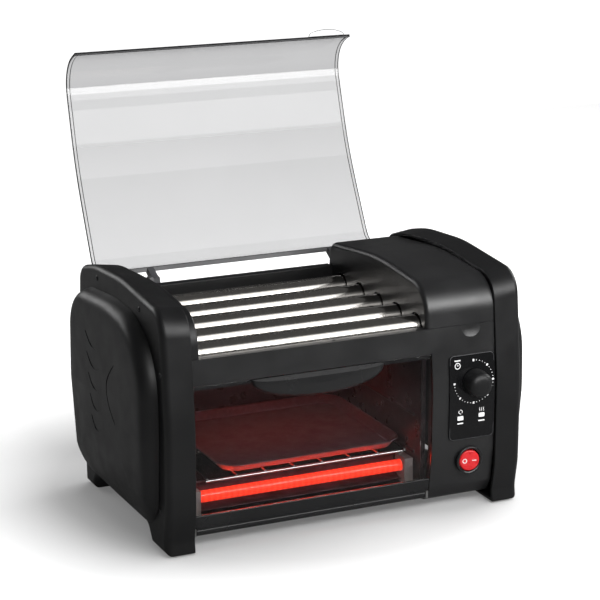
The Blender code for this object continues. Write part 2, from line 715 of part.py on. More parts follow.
def gear_plate():
    """Steel plate in the right housing, with a stud for each idler."""
    plate_x = (84.4, 86.0)
    plate = box("gear_plate", plate_x, (12.2, 184.0), (140.0, 177.0), "zinc_steel")
    for index in range(ROLLER_COUNT):
        drill(plate, f"plate_hole_{index + 1}", roller_axis(index), 4.6, 80.0, 90.0)
    for index in range(ROLLER_COUNT - 1):
        centre = (ROLLER_Y + ROLLER_PITCH * (index + 0.5), ROLLER_Z - IDLER_DROP)
        add(plate, f"idler_stud_{index + 1}", circle(*centre, 2.1, 16), plate_x[0] + 0.5,
            GEAR_X[1] + 1.5)
    return plate


def bearing_strips():
    """Nylon strips that the roller shafts turn in."""
    for name, x0, x1 in (("bearing_strip_left", -138.9, BAY_LEFT - SKIN - GAP),
                         ("bearing_strip_right", 80.2, 84.1)):
        bearing = box(name, (x0, x1), (13.6, 182.0), (154.0, 172.5), "nylon")
        for index in range(ROLLER_COUNT):
            drill(bearing, f"{name}_bore_{index + 1}", roller_axis(index), SHAFT_R + 0.35,
                  x0 - 1.0, x1 + 1.0)


def gear_motor():
    """Flat synchronous gear motor; its shaft carries the pinion."""
    shaft = (roller_axis(ROLLER_COUNT // 2)[0], ROLLER_Z - (GEAR_TEETH + PINION_TEETH) / 2)
    body_centre = (shaft[0], shaft[1] - 14.0)
    motor = turned("gear_motor", [(96.4, 24.0), (97.4, 25.0), (116.0, 25.0), (117.0, 24.0)],
                   body_centre, "zinc_steel", segments=24)
    add(motor, "motor_shaft", circle(*shaft, 2.5, 16), GEAR_X[0] + 0.5, 98.0)
    for hand, y in (("front", -29.0), ("rear", 29.0)):
        ear = rectangle(body_centre[0] + y - 6.0, body_centre[0] + y + 6.0,
                        body_centre[1] - 5.0, body_centre[1] + 5.0)
        add(motor, f"motor_ear_{hand}", ear, 97.0, 98.6)
    return motor


# ---- Controls ----------------------------------------------------------------------------------
def timer():
    face = front_y(DIAL_Z - 12.0) - 1.3 - GAP
    knob = turned("timer_knob", [(8.0, 2.9), (face, 2.9), (face, 12.0), (face - 9.0, 11.6),
                                 (face - 12.5, 10.4), (face - 14.8, 7.0), (face - 15.4, 2.5)],
                  (DIAL_X, DIAL_Z), "black_plastic", "y", 28, pivot=(DIAL_X, 0.0, DIAL_Z))
    body = box("timer_body", (DIAL_X - 16.5, DIAL_X + 16.5), (4.6, 34.0),
               (DIAL_Z - 19.0, DIAL_Z + 19.0), "zinc_steel")
    drill(body, "timer_bore", (DIAL_X, DIAL_Z), 3.3, 0.0, 10.0, "y")
    return knob


def power_switch():
    """Round rocker switch: a cup with a thin bezel, and the rocker that tilts left and right."""
    centre = (SWITCH_X, SWITCH_Z)
    rim_front = front_y(SWITCH_Z + 13.0) - 2.9
    body = turned("power_switch_body",
                  [(24.0, 8.5), (23.0, 9.5), (12.0, 9.5), (9.0, 11.1), (rim_front + 2.4, 11.1),
                   (rim_front + 2.4, 12.6), (rim_front + 0.6, 12.4), (rim_front, 11.6)],
                  centre, "black_plastic", "y", 24)
    drill(body, "switch_well", centre, 10.2, rim_front - 3.0, 7.0, "y", 24)
    pivot_y = rim_front + 4.2
    turned("power_switch_rocker",
           [(pivot_y + 3.0, 8.6), (pivot_y, 9.5), (rim_front + 0.4, 9.2), (rim_front - 0.6, 8.2)],
           centre, "red_plastic", "y", 24, pivot=(SWITCH_X, pivot_y, SWITCH_Z),
           turn=(0.0, 0.0, -ROCKER_TILT))


# ---- Hood --------------------------------------------------------------------------------------
HOOD_FRONT_Z = 166.2
HOOD_REAR_Z = 188.0
HOOD_INNER = -0.7              # inner face, outside the body outline


def hood():
    """Clear curved cover with a round lift tab; drawn closed, placed open."""
    pivot = (0.0, *HOOD_PIVOT)
    path = over_top(HOOD_FRONT_Z, HOOD_REAR_Z)
    section = strip(path, HOOD_INNER - HOOD_SHEET, HOOD_INNER)
    cover = prism("hood", section, -HOOD_X, HOOD_X, "clear_plastic", pivot=pivot,
                  turn=(-HOOD_OPEN, 0.0, 0.0))
    lip_y = path[0].x + HOOD_INNER - HOOD_SHEET / 2
    half_round = [(TAB_X + TAB_HALF * math.cos(math.pi * k / 16),
                   lip_y - (TAB_REACH - HOOD_SHEET / 2) * math.sin(math.pi * k / 16))
                  for k in range(17)]
    tab = prism("hood_tab_joined", half_round, HOOD_FRONT_Z + 0.1, HOOD_FRONT_Z + 2.1, "rubber",
                "z", pivot=pivot, turn=(-HOOD_OPEN, 0.0, 0.0))
    combine(cover, tab, "UNION")
    return cover


ARM_X = 90.0
ARM_HALF = 3.0


def hood_hinge_bar():
    """Dark strip along the hood's rear edge, with two arms and their pins."""
    pivot = (0.0, *HOOD_PIVOT)
    turn = (-HOOD_OPEN, 0.0, 0.0)
    edge = between(BODY_REAR, HOOD_REAR_Z + 3.0, HOOD_REAR_Z - 3.0)
    grip = strip(between(BODY_REAR, HOOD_REAR_Z + 6.0, HOOD_REAR_Z - GAP), HOOD_INNER - HOOD_SHEET
                 - GAP - 1.4, HOOD_INNER - HOOD_SHEET - GAP)
    bar = prism("hood_hinge_bar", grip, -136.5, 136.5, "grey_plastic", pivot=pivot, turn=turn)
    below = between(BODY_REAR, HOOD_REAR_Z - GAP - 0.2, HOOD_REAR_Z - 4.0)
    foot = strip(below, HOOD_INNER - HOOD_SHEET - GAP - 1.4, HOOD_INNER)
    joined = prism("hinge_bar_foot_joined", foot, -136.5, 136.5, "rubber", pivot=pivot, turn=turn)
    combine(bar, joined, "UNION")
    y, z = edge[0].x, HOOD_REAR_Z - 2.2
    for hand, side in (("left", -1), ("right", 1)):
        arm = [(y + 1.4, z - 1.4), (y + 4.6, z + 4.0), (HOOD_PIVOT[0] + 4.4, HOOD_PIVOT[1] + 2.2),
               (HOOD_PIVOT[0] + 4.4, HOOD_PIVOT[1] - 3.0), (HOOD_PIVOT[0] - 2.0,
                                                           HOOD_PIVOT[1] - 4.4),
               (HOOD_PIVOT[0] - 4.6, HOOD_PIVOT[1])]
        x0, x1 = side * ARM_X - ARM_HALF, side * ARM_X + ARM_HALF
        limb = prism(f"hinge_arm_{hand}_joined", arm, x0, x1, "rubber", pivot=pivot, turn=turn)
        combine(bar, limb, "UNION")
        ends = sorted((side * (ARM_X - 1.0), side * (ARM_X + ARM_HALF + 4.6)))
        pin = prism(f"hinge_pin_{hand}_joined", circle(*HOOD_PIVOT, 2.0, 16), *ends, "rubber",
                    pivot=pivot, turn=turn)
        combine(bar, pin, "UNION")
    return bar


def hinge_brackets():
    """Ears on the back that hold the hood's pins."""
    for hand, side in (("left", -1), ("right", 1)):
        near = ARM_X + ARM_HALF + 0.5
        xs = sorted((side * near, side * (near + 3.6)))
        face = between(BODY_REAR, 180.0, 150.0)
        wall = [Vector((p.x + GAP, p.y)) for p in between(face, 164.0, 152.0)]
        section = [(p.x, p.y) for p in wall] + [(HOOD_PIVOT[0] - 1.0, 158.0),
                                               (HOOD_PIVOT[0] + 4.6, HOOD_PIVOT[1] - 3.0),
                                               (HOOD_PIVOT[0] + 4.6, HOOD_PIVOT[1] + 2.4),
                                               (HOOD_PIVOT[0] + 2.0, HOOD_PIVOT[1] + 4.6),
                                               (HOOD_PIVOT[0] - 4.0, HOOD_PIVOT[1] + 4.6),
                                               (HOOD_PIVOT[0] - 6.0, HOOD_PIVOT[1])]
        bracket = prism(f"hinge_bracket_{hand}", section, *xs, "grey_plastic")
        drill(bracket, f"bracket_bore_{hand}", HOOD_PIVOT, 2.4, xs[0] - 1.0, xs[1] + 1.0,
              segments=16)


clear_scene()
GRILL = bpy.data.objects.new("grill", None)
GRILL.location = (0.0, -ORIGIN_Y * MM, 0.0)
bpy.context.collection.objects.link(GRILL)

end_cap("left_end_cap", -1)
end_cap("right_end_cap", 1)
side_panel("left_side_panel", -1)
side_panel("right_side_panel", 1)
left_bearing_wall()
motor_cover()
front_frame()
label_plate()
rear_panel()
cord_inlet()
base_pan()
rubber_feet()
oven_liner()
tray("crumb_tray", (-131.0, 72.0), (16.0, 182.0), (17.6, 20.6), 4.0, 0.7, 0.2, "stainless")
tray("bake_tray", (-100.0, 60.0), (29.0, 162.0), (55.0, 63.0), 14.0, 0.8, 6.0, "dark_enamel")
wire_rack()
lower_heater()
heater_reflector()
upper_heater()
oven_door()
door_hinge_rod()
door_handle()
drip_pan()
rear_rail()
rollers_and_gears()
gear_plate()
bearing_strips()
gear_motor()
timer()
power_switch()
hood()
hood_hinge_bar()
hinge_brackets()
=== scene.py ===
"""Looks of the hot dog roller grill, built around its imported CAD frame.

Lengths are millimetres in body coordinates, where y is 0 at the front of the feet and z is 0 on
the table. From the floor section onwards they are metres in the frame's coordinates.
"""
import json
import math

import bmesh
import bpy
from mathutils import Matrix, Vector

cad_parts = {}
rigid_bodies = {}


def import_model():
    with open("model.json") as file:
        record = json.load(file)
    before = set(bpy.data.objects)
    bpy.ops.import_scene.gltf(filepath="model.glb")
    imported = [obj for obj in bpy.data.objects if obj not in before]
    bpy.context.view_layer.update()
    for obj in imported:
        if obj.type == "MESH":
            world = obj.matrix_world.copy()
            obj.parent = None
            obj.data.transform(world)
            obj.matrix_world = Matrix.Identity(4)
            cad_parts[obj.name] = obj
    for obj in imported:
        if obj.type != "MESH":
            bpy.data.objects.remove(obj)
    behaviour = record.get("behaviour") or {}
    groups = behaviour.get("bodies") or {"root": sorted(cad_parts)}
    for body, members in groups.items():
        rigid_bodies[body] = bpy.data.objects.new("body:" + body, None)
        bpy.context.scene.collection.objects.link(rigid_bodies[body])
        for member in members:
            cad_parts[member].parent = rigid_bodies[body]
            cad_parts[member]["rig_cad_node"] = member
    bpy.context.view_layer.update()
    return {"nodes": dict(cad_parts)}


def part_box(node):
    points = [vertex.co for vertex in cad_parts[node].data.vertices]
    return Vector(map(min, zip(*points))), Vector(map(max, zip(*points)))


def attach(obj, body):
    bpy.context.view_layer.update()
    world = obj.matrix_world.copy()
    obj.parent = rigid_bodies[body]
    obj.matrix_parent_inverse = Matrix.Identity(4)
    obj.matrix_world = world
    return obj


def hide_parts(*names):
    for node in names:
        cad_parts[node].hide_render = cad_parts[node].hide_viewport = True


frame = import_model()
scene = bpy.context.scene

MM = 0.001
GAP = 0.3  # clearance between fixed pieces
ABOVE = 400.0  # a height over everything
MERGE = 0.0005  # vertices closer than this become one
EDGE_ANGLE = 38.0  # degrees from which a bevel rounds an edge
CREASE, KEPT_CREASE = 35.0, 32.0  # degrees up to which shading is smooth
rod_low, rod_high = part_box("door_hinge_rod")
DOOR_PIVOT = (7.2, 16.6)
SHIFT_Y = (rod_low.y + rod_high.y) / 2 / MM - DOOR_PIVOT[0]

CAP_IN, CAP_OUT, CAP_FLARE = 139.5, 165.0, 3.4
SKIN = 2.6
BODY_X = 139.2
BAY_LEFT, BAY_RIGHT = -132.5, 74.5
COLUMN_X = 78.8
RAIL_LOW, RAIL_TOP = 143.6, 165.2
ROLLER_Y, ROLLER_Z, ROLLER_PITCH, ROLLER_R = 23.2, 163.5, 36.0, 10.0
DOOR_X, DOOR_Z = (-138.8, 78.4), (20.6, 143.2)
DIAL = (118.4, 115.0)
SWITCH = (114.7, 44.8)
PLATE_PROUD = 1.3  # how far the label plate stands out of the front
HOOD_PIVOT, HOOD_OPEN, HOOD_X = (211.0, 175.8), 112.0, 138.7
TAB_X, TAB_HALF, TAB_REACH = 113.0, 18.2, 8.4
ROCKER_TILT = 8.0

CAP_CORNERS = (
    (-1.7, 1.6, 1.0), (-0.2, 13.0, 16.0), (-4.6, 38.0, 60.0), (-5.0, 112.0, 150.0),
    (5.2, 203.5, 24.0), (100.0, 211.2, 200.0), (165.0, 207.0, 150.0), (203.8, 197.6, 16.0),
    (207.0, 160.0, 60.0),
    (199.0, 1.6, 1.0), (176.0, 1.6, 1.0), (168.0, 15.0, 9.0), (44.0, 15.0, 9.0), (34.5, 1.6, 1.0),
)
BODY_CORNERS = (
    (18.0, 8.0, 1.0), (9.0, 10.0, 8.0), (2.6, 22.0, 14.0), (-1.4, 52.0, 60.0),
    (-2.0, 112.0, 150.0), (6.0, 200.8, 29.0), (100.0, 208.4, 300.0), (195.5, 198.6, 13.0),
    (198.5, 160.0, 60.0), (194.0, 8.0, 5.0),
)
PANEL_CORNERS = (
    (15.5, 19.5, 30.0), (10.5, 100.0, 150.0), (13.5, 190.0, 66.0), (104.0, 195.5, 200.0),
    (197.5, 187.0, 40.0), (200.0, 110.0, 150.0), (196.0, 19.0, 26.0), (110.0, 18.5, 200.0),
)
PANEL_BULGE = ((0.0, 0.0), (1.2, 5.6), (3.6, 10.2), (7.5, 13.2), (14.0, 14.3), (30.0, 14.6),
               (54.0, 14.7))


# ---- Outlines in (y, z) ----
def corner_arms(corners):
    """Each corner (y, z, radius) as its place, the ways to its neighbours, and its radius."""
    for index, (y, z, radius) in enumerate(corners):
        corner = Vector((y, z))
        before = (Vector(corners[index - 1][:2]) - corner).normalized()
        after = (Vector(corners[(index + 1) % len(corners)][:2]) - corner).normalized()
        yield corner, before, after, radius


def rounded(corners, step_degrees=4.0):
    """The closed outline through the corners, with an arc at each."""
    points = []
    for corner, before, after, radius in corner_arms(corners):
        half = before.angle(after) / 2
        centre = corner + (before + after).normalized() * (radius / math.sin(half))
        arm = corner + before * (radius / math.tan(half)) - centre
        turn = math.copysign(math.pi - 2 * half, before.x * after.y - before.y * after.x)
        steps = max(3, math.ceil(round(abs(math.degrees(turn)) / step_degrees, 3)))
        for step in range(steps + 1):
            points.append(centre + Matrix.Rotation(-turn * step / steps, 2) @ arm)
    return points


def inset(corners, distance):
    """The corners of the same outline, moved in by the distance."""
    moved = []
    for corner, before, after, radius in corner_arms(corners):
        outward = 1.0 if before.x * after.y > before.y * after.x else -1.0
        shift = distance / math.sin(before.angle(after) / 2)
        place = corner + (before + after).normalized() * shift * outward
        moved.append((*place, max(0.4, radius - outward * distance)))
    return moved


def offset(path, distance):
    """The open path moved sideways by the distance, into the body where that is positive."""
    legs = [(second - first).normalized() for first, second in zip(path, path[1:])]
    moved = []
    for point, into, out in zip(path, [legs[0], *legs], [*legs, legs[-1]]):
        along = (into + out).normalized()
        moved.append(point + Vector((along.y, -along.x)) * (distance / max(0.5, along.dot(out))))
    return moved


def between(path, start_z, end_z):
    """The part of the path between two heights."""
    low, high = sorted((start_z, end_z))
    kept = []
    for first, second in zip(path, path[1:]):
        for limit in ((low, high) if second.y > first.y else (high, low)):
            if min(first.y, second.y) < limit < max(first.y, second.y):
                kept.append(first.lerp(second, (limit - first.y) / (second.y - first.y)))
        if low <= second.y <= high:
            kept.append(second)
    if low <= path[0].y <= high:
        kept.insert(0, path[0])
    return kept


def resampled(path, spacing):
    """The path with extra points wherever two are further apart than the spacing."""
    points = [path[0]]
    for first, second in zip(path, path[1:]):
        parts = max(1, math.ceil((second - first).length / spacing))
        points += [first.lerp(second, k / parts) for k in range(1, parts + 1)]
    return points


def faired(path, spacing, rounds):
    """Evenly spaced points along the path, with its changes of curvature eased."""
    lengths = [0.0]
    for first, second in zip(path, path[1:]):
        lengths.append(lengths[-1] + (second - first).length)
    count = max(2, round(lengths[-1] / spacing))
    points, leg = [], 0
    for k in range(count + 1):
        along = lengths[-1] * k / count
        while leg < len(path) - 2 and lengths[leg + 1] < along:
            leg += 1
        share = (along - lengths[leg]) / max(1e-9, lengths[leg + 1] - lengths[leg])
        points.append(path[leg].lerp(path[leg + 1], min(1.0, share)))
    for _ in range(rounds):
        middle = [(a + 2 * b + c) / 4 for a, b, c in zip(points, points[1:], points[2:])]
        points = [points[0], *middle, points[-1]]
    return points


def strip(path, near, far):
    """The closed outline between two offsets of the path."""
    return offset(path, near) + offset(path, far)[::-1]


BODY = rounded(BODY_CORNERS)
PEAK = max(range(len(BODY)), key=lambda index: BODY[index].y)
BODY_FRONT, BODY_REAR = BODY[:PEAK + 1], BODY[PEAK:]


def front_y(z):
    return between(BODY_FRONT, z, ABOVE)[0].x


def over_top(z_front, z_rear):
    """The body's outline from a height at its front, over its top, to a height at its rear."""
    return between(BODY_FRONT, z_front, ABOVE) + between(BODY_REAR, ABOVE, z_rear)[1:]


def chaikin(points, rounds=2):
    """Cuts the corners of an open chain of points, and keeps its ends."""
    for _ in range(rounds):
        cut = [points[0]]
        for first, second in zip(points, points[1:]):
            cut.append(tuple(0.75 * a + 0.25 * b for a, b in zip(first, second)))
            cut.append(tuple(0.25 * a + 0.75 * b for a, b in zip(first, second)))
        points = cut + [points[-1]]
    return points


def circle(a, b, radius, segments):
    return [(a + radius * math.cos(2 * math.pi * k / segments),
             b + radius * math.sin(2 * math.pi * k / segments)) for k in range(segments)]


def round_box(a0, a1, b0, b1, radius, steps=6):
    points = []
    for ca, cb, start in ((a1 - radius, b1 - radius, 0), (a0 + radius, b1 - radius, 1),
                          (a0 + radius, b0 + radius, 2), (a1 - radius, b0 + radius, 3)):
        for k in range(steps + 1):
            angle = math.pi / 2 * (start + k / steps)
            points.append((ca + radius * math.cos(angle), cb + radius * math.sin(angle)))
    return points


# ---- Materials ----
NOISE_SPAN = (0.3, 0.7)


def remap(tree, value, socket, to=(0.0, 1.0), span=(0.0, 1.0)):
    """Feeds a value into a socket, carried over from the span to another range."""
    node = tree.nodes.new("ShaderNodeMapRange")
    for name, number in zip(("From Min", "From Max", "To Min", "To Max"), (*span, *to)):
        node.inputs[name].default_value = number
    tree.links.new(value, node.inputs["Value"])
    tree.links.new(node.outputs["Result"], socket)
    return node


def surface(name, colour, roughness, metallic=0.0, shade=0.0, shade_scale=40.0, gloss_shift=0.0,
            gloss_scale=60.0, grain=0.0, grain_scale=1500.0, stretch=(1.0, 1.0, 1.0), **sockets):
    """Principled material whose colour, roughness and grain vary over the surface.

    shade and gloss_shift are how far colour and roughness swing, and grain is a bump in metres."""
    made = bpy.data.materials.new(name)
    made.use_nodes = True
    tree = made.node_tree
    nodes, links = tree.nodes, tree.links
    shader = nodes["Principled BSDF"]
    shader.inputs["Base Color"].default_value = (*colour, 1.0)
    shader.inputs["Roughness"].default_value = roughness
    shader.inputs["Metallic"].default_value = metallic
    for socket, value in sockets.items():
        shader.inputs[socket.replace("_", " ")].default_value = value
    place = nodes.new("ShaderNodeTexCoord")
    spread = nodes.new("ShaderNodeMapping")
    spread.inputs["Scale"].default_value = stretch
    links.new(place.outputs["Object"], spread.inputs["Vector"])

    def noise(scale, detail):
        node = nodes.new("ShaderNodeTexNoise")
        node.inputs["Scale"].default_value = scale
        node.inputs["Detail"].default_value = detail
        links.new(spread.outputs["Vector"], node.inputs["Vector"])
        return node.outputs["Fac"]

    if shade:
        mix = nodes.new("ShaderNodeMix")
        mix.data_type = "RGBA"
        mix.inputs["A"].default_value = (*(max(0.0, c * (1 - shade)) for c in colour), 1.0)
        mix.inputs["B"].default_value = (*(min(1.0, c * (1 + shade)) for c in colour), 1.0)
        remap(tree, noise(shade_scale, 5.0), mix.inputs["Factor"], span=NOISE_SPAN)
        links.new(mix.outputs["Result"], shader.inputs["Base Color"])
    if gloss_shift:
        swing = (max(0.0, roughness - gloss_shift), min(1.0, roughness + gloss_shift))
        remap(tree, noise(gloss_scale, 4.0), shader.inputs["Roughness"], swing, NOISE_SPAN)
    if grain:
        bump = nodes.new("ShaderNodeBump")
        bump.inputs["Strength"].default_value = 1.0
        bump.inputs["Distance"].default_value = grain
        links.new(noise(grain_scale, 3.0), bump.inputs["Height"])
        links.new(bump.outputs["Normal"], shader.inputs["Normal"])
    return made


MOULDED = dict(shade=0.18, shade_scale=22.0, gloss_shift=0.05, gloss_scale=45.0)
CLEAR = dict(shade_scale=12.0, gloss_shift=0.008, gloss_scale=30.0, Transmission_Weight=1.0)
FINISH = {
    "black_plastic": surface("satin_black_plastic", (0.0058, 0.0058, 0.0062), 0.40, grain=0.00003,
                             grain_scale=2600.0, Specular_IOR_Level=0.40, **MOULDED),
    # A lit copy of the black plastic: a lighter colour and a stronger specular level paint brighter
    # highlights on the motor cover and the front frame.
    "sheen_black": surface("moulded_black_front", (0.0090, 0.0090, 0.0095), 0.34, grain=0.00002,
                           grain_scale=2600.0, Specular_IOR_Level=0.76, **MOULDED),
    "gloss_black": surface("gloss_black_plate", (0.006, 0.006, 0.0065), 0.12, shade=0.1,
                           gloss_shift=0.04, gloss_scale=80.0, grain=0.000004,
                           grain_scale=3000.0, Specular_IOR_Level=0.22, Coat_Weight=0.08,
                           Coat_Roughness=0.06),
    "handle_black": surface("polished_black_plastic", (0.009, 0.009, 0.0095), 0.26, shade=0.15,
                            gloss_shift=0.03, gloss_scale=20.0, grain=0.000002,
                            grain_scale=1800.0, Specular_IOR_Level=0.6),
    "grey_plastic": surface("dark_grey_plastic", (0.042, 0.042, 0.045), 0.36, grain=0.00002,
                            grain_scale=2400.0, **MOULDED),
    "rubber": surface("black_rubber", (0.012, 0.012, 0.012), 0.82, shade=0.25, shade_scale=80.0,
                      gloss_shift=0.08, grain=0.00008, grain_scale=900.0),
    "clear_plastic": surface("smoky_clear_plastic", (0.54, 0.54, 0.545), 0.015, shade=0.015,
                             IOR=1.49, **CLEAR),
    "clear_tab": surface("clear_tab_plastic", (0.96, 0.965, 0.97), 0.02, shade=0.01, IOR=1.45,
                         **CLEAR),
    # Opaque dark stand-in for the clear hood's edges: painted shade where light bending in the
    # edge-on plastic makes them look black.
    "clear_edge": surface("dark_clear_edge", (0.030, 0.030, 0.032), 0.09, shade=0.3,
                          shade_scale=60.0, gloss_shift=0.04, gloss_scale=120.0,
                          Coat_Weight=0.6, Coat_Roughness=0.04),
    "door_glass": surface("clear_door", (0.88, 0.87, 0.88), 0.02, shade=0.02, shade_scale=14.0,
                          gloss_shift=0.01, gloss_scale=40.0, Transmission_Weight=1.0, IOR=1.30),
    "stainless": surface("polished_steel", (0.74, 0.71, 0.67), 0.16, 1.0, shade=0.05,
                         shade_scale=30.0, gloss_shift=0.03, gloss_scale=90.0, grain=0.000004,
                         grain_scale=160.0, stretch=(12.0, 1.0, 1.0)),
    "bright_wire": surface("chromed_wire", (0.82, 0.81, 0.80), 0.10, 1.0, shade=0.06,
                           shade_scale=60.0, gloss_shift=0.04, gloss_scale=160.0, grain=0.00001,
                           grain_scale=700.0),
    "zinc_steel": surface("zinc_plated_sheet", (0.46, 0.46, 0.45), 0.36, 1.0, shade=0.14,
                          shade_scale=70.0, gloss_shift=0.09, gloss_scale=110.0, grain=0.00002,
                          grain_scale=500.0),
    # Steel that is darker and redder than bare steel.
    "dark_steel": surface("heat_darkened_steel", (0.15, 0.095, 0.11), 0.38, 1.0, shade=0.25,
                          shade_scale=60.0, gloss_shift=0.08, gloss_scale=90.0,
                          grain=0.00001, grain_scale=500.0),
    "dark_enamel": surface("dark_speckled_enamel", (0.026, 0.018, 0.019), 0.32, 0.2, shade=0.35,
                           shade_scale=420.0, gloss_shift=0.08, gloss_scale=90.0,
                           grain=0.00002, grain_scale=600.0),
    "tray_coat": surface("non_stick_coat", (0.060, 0.050, 0.062), 0.38, 0.3, shade=0.2,
                         shade_scale=300.0, gloss_shift=0.07, gloss_scale=80.0, grain=0.00002,
                         grain_scale=900.0),
    # Much darker than pale ceramic: painted shade, so the heater holders sit dark inside the oven.
    "ceramic": surface("unglazed_ceramic", (0.20, 0.175, 0.165), 0.62, shade=0.12,
                       shade_scale=160.0, gloss_shift=0.06, grain=0.00005, grain_scale=800.0),
    "nylon": surface("natural_nylon", (0.66, 0.64, 0.57), 0.46, shade=0.06, shade_scale=90.0,
                     gloss_shift=0.05, grain=0.00001, grain_scale=900.0,
                     Subsurface_Weight=0.1, Subsurface_Radius=(0.002, 0.002, 0.002)),
    "red_plastic": surface("red_switch_plastic", (0.62, 0.010, 0.014), 0.28, shade=0.12,
                           shade_scale=90.0, gloss_shift=0.05, gloss_scale=90.0,
                           grain=0.00001, grain_scale=1600.0),
    "print_white": surface("white_print", (0.80, 0.80, 0.80), 0.45, shade=0.05,
                           shade_scale=500.0, gloss_shift=0.05, grain=0.000004,
                           grain_scale=3000.0),
    "screw_black": surface("blackened_screw", (0.045, 0.045, 0.047), 0.30, 0.8, shade=0.2,
                           shade_scale=400.0, gloss_shift=0.08, gloss_scale=500.0),
}


def glow(name, colour, strength, dim, scale):
    """A hot surface whose glow runs in soft bands along it."""
    made = surface(name, colour, 0.16, shade=0.1, shade_scale=60.0, gloss_shift=0.05)
    nodes, links = made.node_tree.nodes, made.node_tree.links
    shader = nodes["Principled BSDF"]
    shader.inputs["Emission Color"].default_value = (*colour, 1.0)
    place = nodes.new("ShaderNodeTexCoord")
    bands = nodes.new("ShaderNodeTexWave")
    bands.bands_direction = "X"
    bands.inputs["Scale"].default_value = scale
    bands.inputs["Distortion"].default_value = 1.5
    links.new(place.outputs["Object"], bands.inputs["Vector"])
    remap(made.node_tree, bands.outputs["Fac"], shader.inputs["Emission Strength"],
          (strength * dim, strength))
    return made


FINISH["quartz_hot"] = glow("glowing_quartz", (1.0, 0.045, 0.018), 1.15, 0.45, 60.0)
FINISH["rod_hot"] = surface("dull_red_rod", (0.10, 0.03, 0.022), 0.5, shade=0.25,
                            shade_scale=120.0, gloss_shift=0.08, grain=0.00002, grain_scale=900.0,
                            Emission_Color=(1.0, 0.03, 0.01, 1.0), Emission_Strength=0.2)


# ---- Mesh helpers ----
def object_from(name, bm, material):
    """An object in the scene from a bmesh in body millimetres, which is used up."""
    bmesh.ops.translate(bm, verts=bm.verts, vec=(0.0, SHIFT_Y, 0.0))
    bmesh.ops.scale(bm, verts=bm.verts, vec=(MM, MM, MM))
    mesh = bpy.data.meshes.new(name)
    bm.to_mesh(mesh)
    bm.free()
    mesh.materials.append(material)
    made = bpy.data.objects.new(name, mesh)
    scene.collection.objects.link(made)
    return made


def add_bevel(piece, width, segments=3, angle=EDGE_ANGLE, miter="MITER_SHARP"):
    edge = piece.modifiers.new("edges", "BEVEL")
    edge.width = width * MM
    edge.segments = segments
    edge.limit_method = "ANGLE"
    edge.angle_limit = math.radians(angle)
    edge.miter_outer = miter


def build(name, bm, finish, body="root", stands_for=(), slot="black_plastic", turn=None,
          bevel=0.0, crease=CREASE):
    """A shown piece from a bmesh in body millimetres, turned first by the matrix, if any."""
    bmesh.ops.remove_doubles(bm, verts=bm.verts, dist=MERGE)
    bmesh.ops.recalc_face_normals(bm, faces=bm.faces)
    if turn is not None:
        bmesh.ops.transform(bm, verts=bm.verts, matrix=turn)
    piece = object_from(name, bm, FINISH[finish])
    if bevel:
        add_bevel(piece, bevel, miter="MITER_ARC")
    settle(piece, crease)
    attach(piece, body)
    if stands_for:
        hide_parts(*stands_for)
    return piece


def settle(piece, crease=CREASE):
    """Applies the piece's modifiers and shades it smooth up to the crease angle."""
    if piece.modifiers:
        baked = bpy.data.meshes.new_from_object(
            piece.evaluated_get(bpy.context.evaluated_depsgraph_get()))
        baked.name = piece.name
        piece.modifiers.clear()
        piece.data = baked
    piece.data.shade_smooth()
    piece.data.set_sharp_from_angle(angle=math.radians(crease))


def turn_about(pivot, degrees, axis):
    pivot = Vector(pivot)
    return (Matrix.Translation(pivot) @ Matrix.Rotation(math.radians(degrees), 4, axis)
            @ Matrix.Translation(-pivot))


def even_shading():
    """Weights every made piece's normals by face area, so that flat faces shade flat."""
    for piece in scene.objects:
        if piece.type == "MESH" and "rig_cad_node" not in piece:
            weigh = piece.modifiers.new("even_normals", "WEIGHTED_NORMAL")
            weigh.keep_sharp = True
            weigh.weight = 60


def solid(fill, *shape, **options):
    """A new bmesh, filled by one of the functions whose names end in _into."""
    bm = bmesh.new()
    fill(bm, *shape, **options)
    return bm


def bridge(bm, lower, upper):
    """Four-sided faces between two rings of equally many vertices."""
    for index in range(len(lower)):
        after = (index + 1) % len(lower)
        bm.faces.new((lower[index], lower[after], upper[after], upper[index]))


ALONG = {"x": lambda a, b, t: (t, a, b), "y": lambda a, b, t: (a, t, b),
         "z": lambda a, b, t: (a, b, t)}


def prism_into(bm, outline, low, high, axis="x"):
    first = [bm.verts.new(ALONG[axis](*point, low)) for point in outline]
    second = [bm.verts.new(ALONG[axis](*point, high)) for point in outline]
    bm.faces.new(first[::-1])
    bm.faces.new(second)
    bridge(bm, first, second)


def rings_into(bm, rings, caps=True):
    made = [[bm.verts.new(point) for point in ring] for ring in rings]
    for lower, upper in zip(made, made[1:]):
        bridge(bm, lower, upper)
    if caps:
        bm.faces.new(made[0][::-1])
        bm.faces.new(made[-1])
    return made


def turned_into(bm, profile, centre, axis="x", segments=64):
    """A turned shape, from (place along the axis, radius) pairs."""
    rings_into(bm, [[ALONG[axis](a, b, t) for a, b in circle(*centre, radius, segments)]
                    for t, radius in profile])


def tube_into(bm, points, radius, segments, closed=False):
    """A round rod along a chain of 3-D points."""
    chain = [Vector(point) for point in points]
    count = len(chain)
    rings = []
    normal = None
    for index, point in enumerate(chain):
        ahead = chain[(index + 1) % count] if closed or index < count - 1 else point
        behind = chain[index - 1] if closed or index else point
        along = (ahead - behind).normalized()
        if normal is None:
            normal = along.orthogonal().normalized()
        normal = (normal - along * normal.dot(along)).normalized()
        side = along.cross(normal)
        rings.append([point + radius * (math.cos(a) * normal + math.sin(a) * side)
                      for a in (2 * math.pi * k / segments for k in range(segments))])
    made = rings_into(bm, rings, caps=not closed)
    if closed:
        bridge(bm, made[-1], made[0])


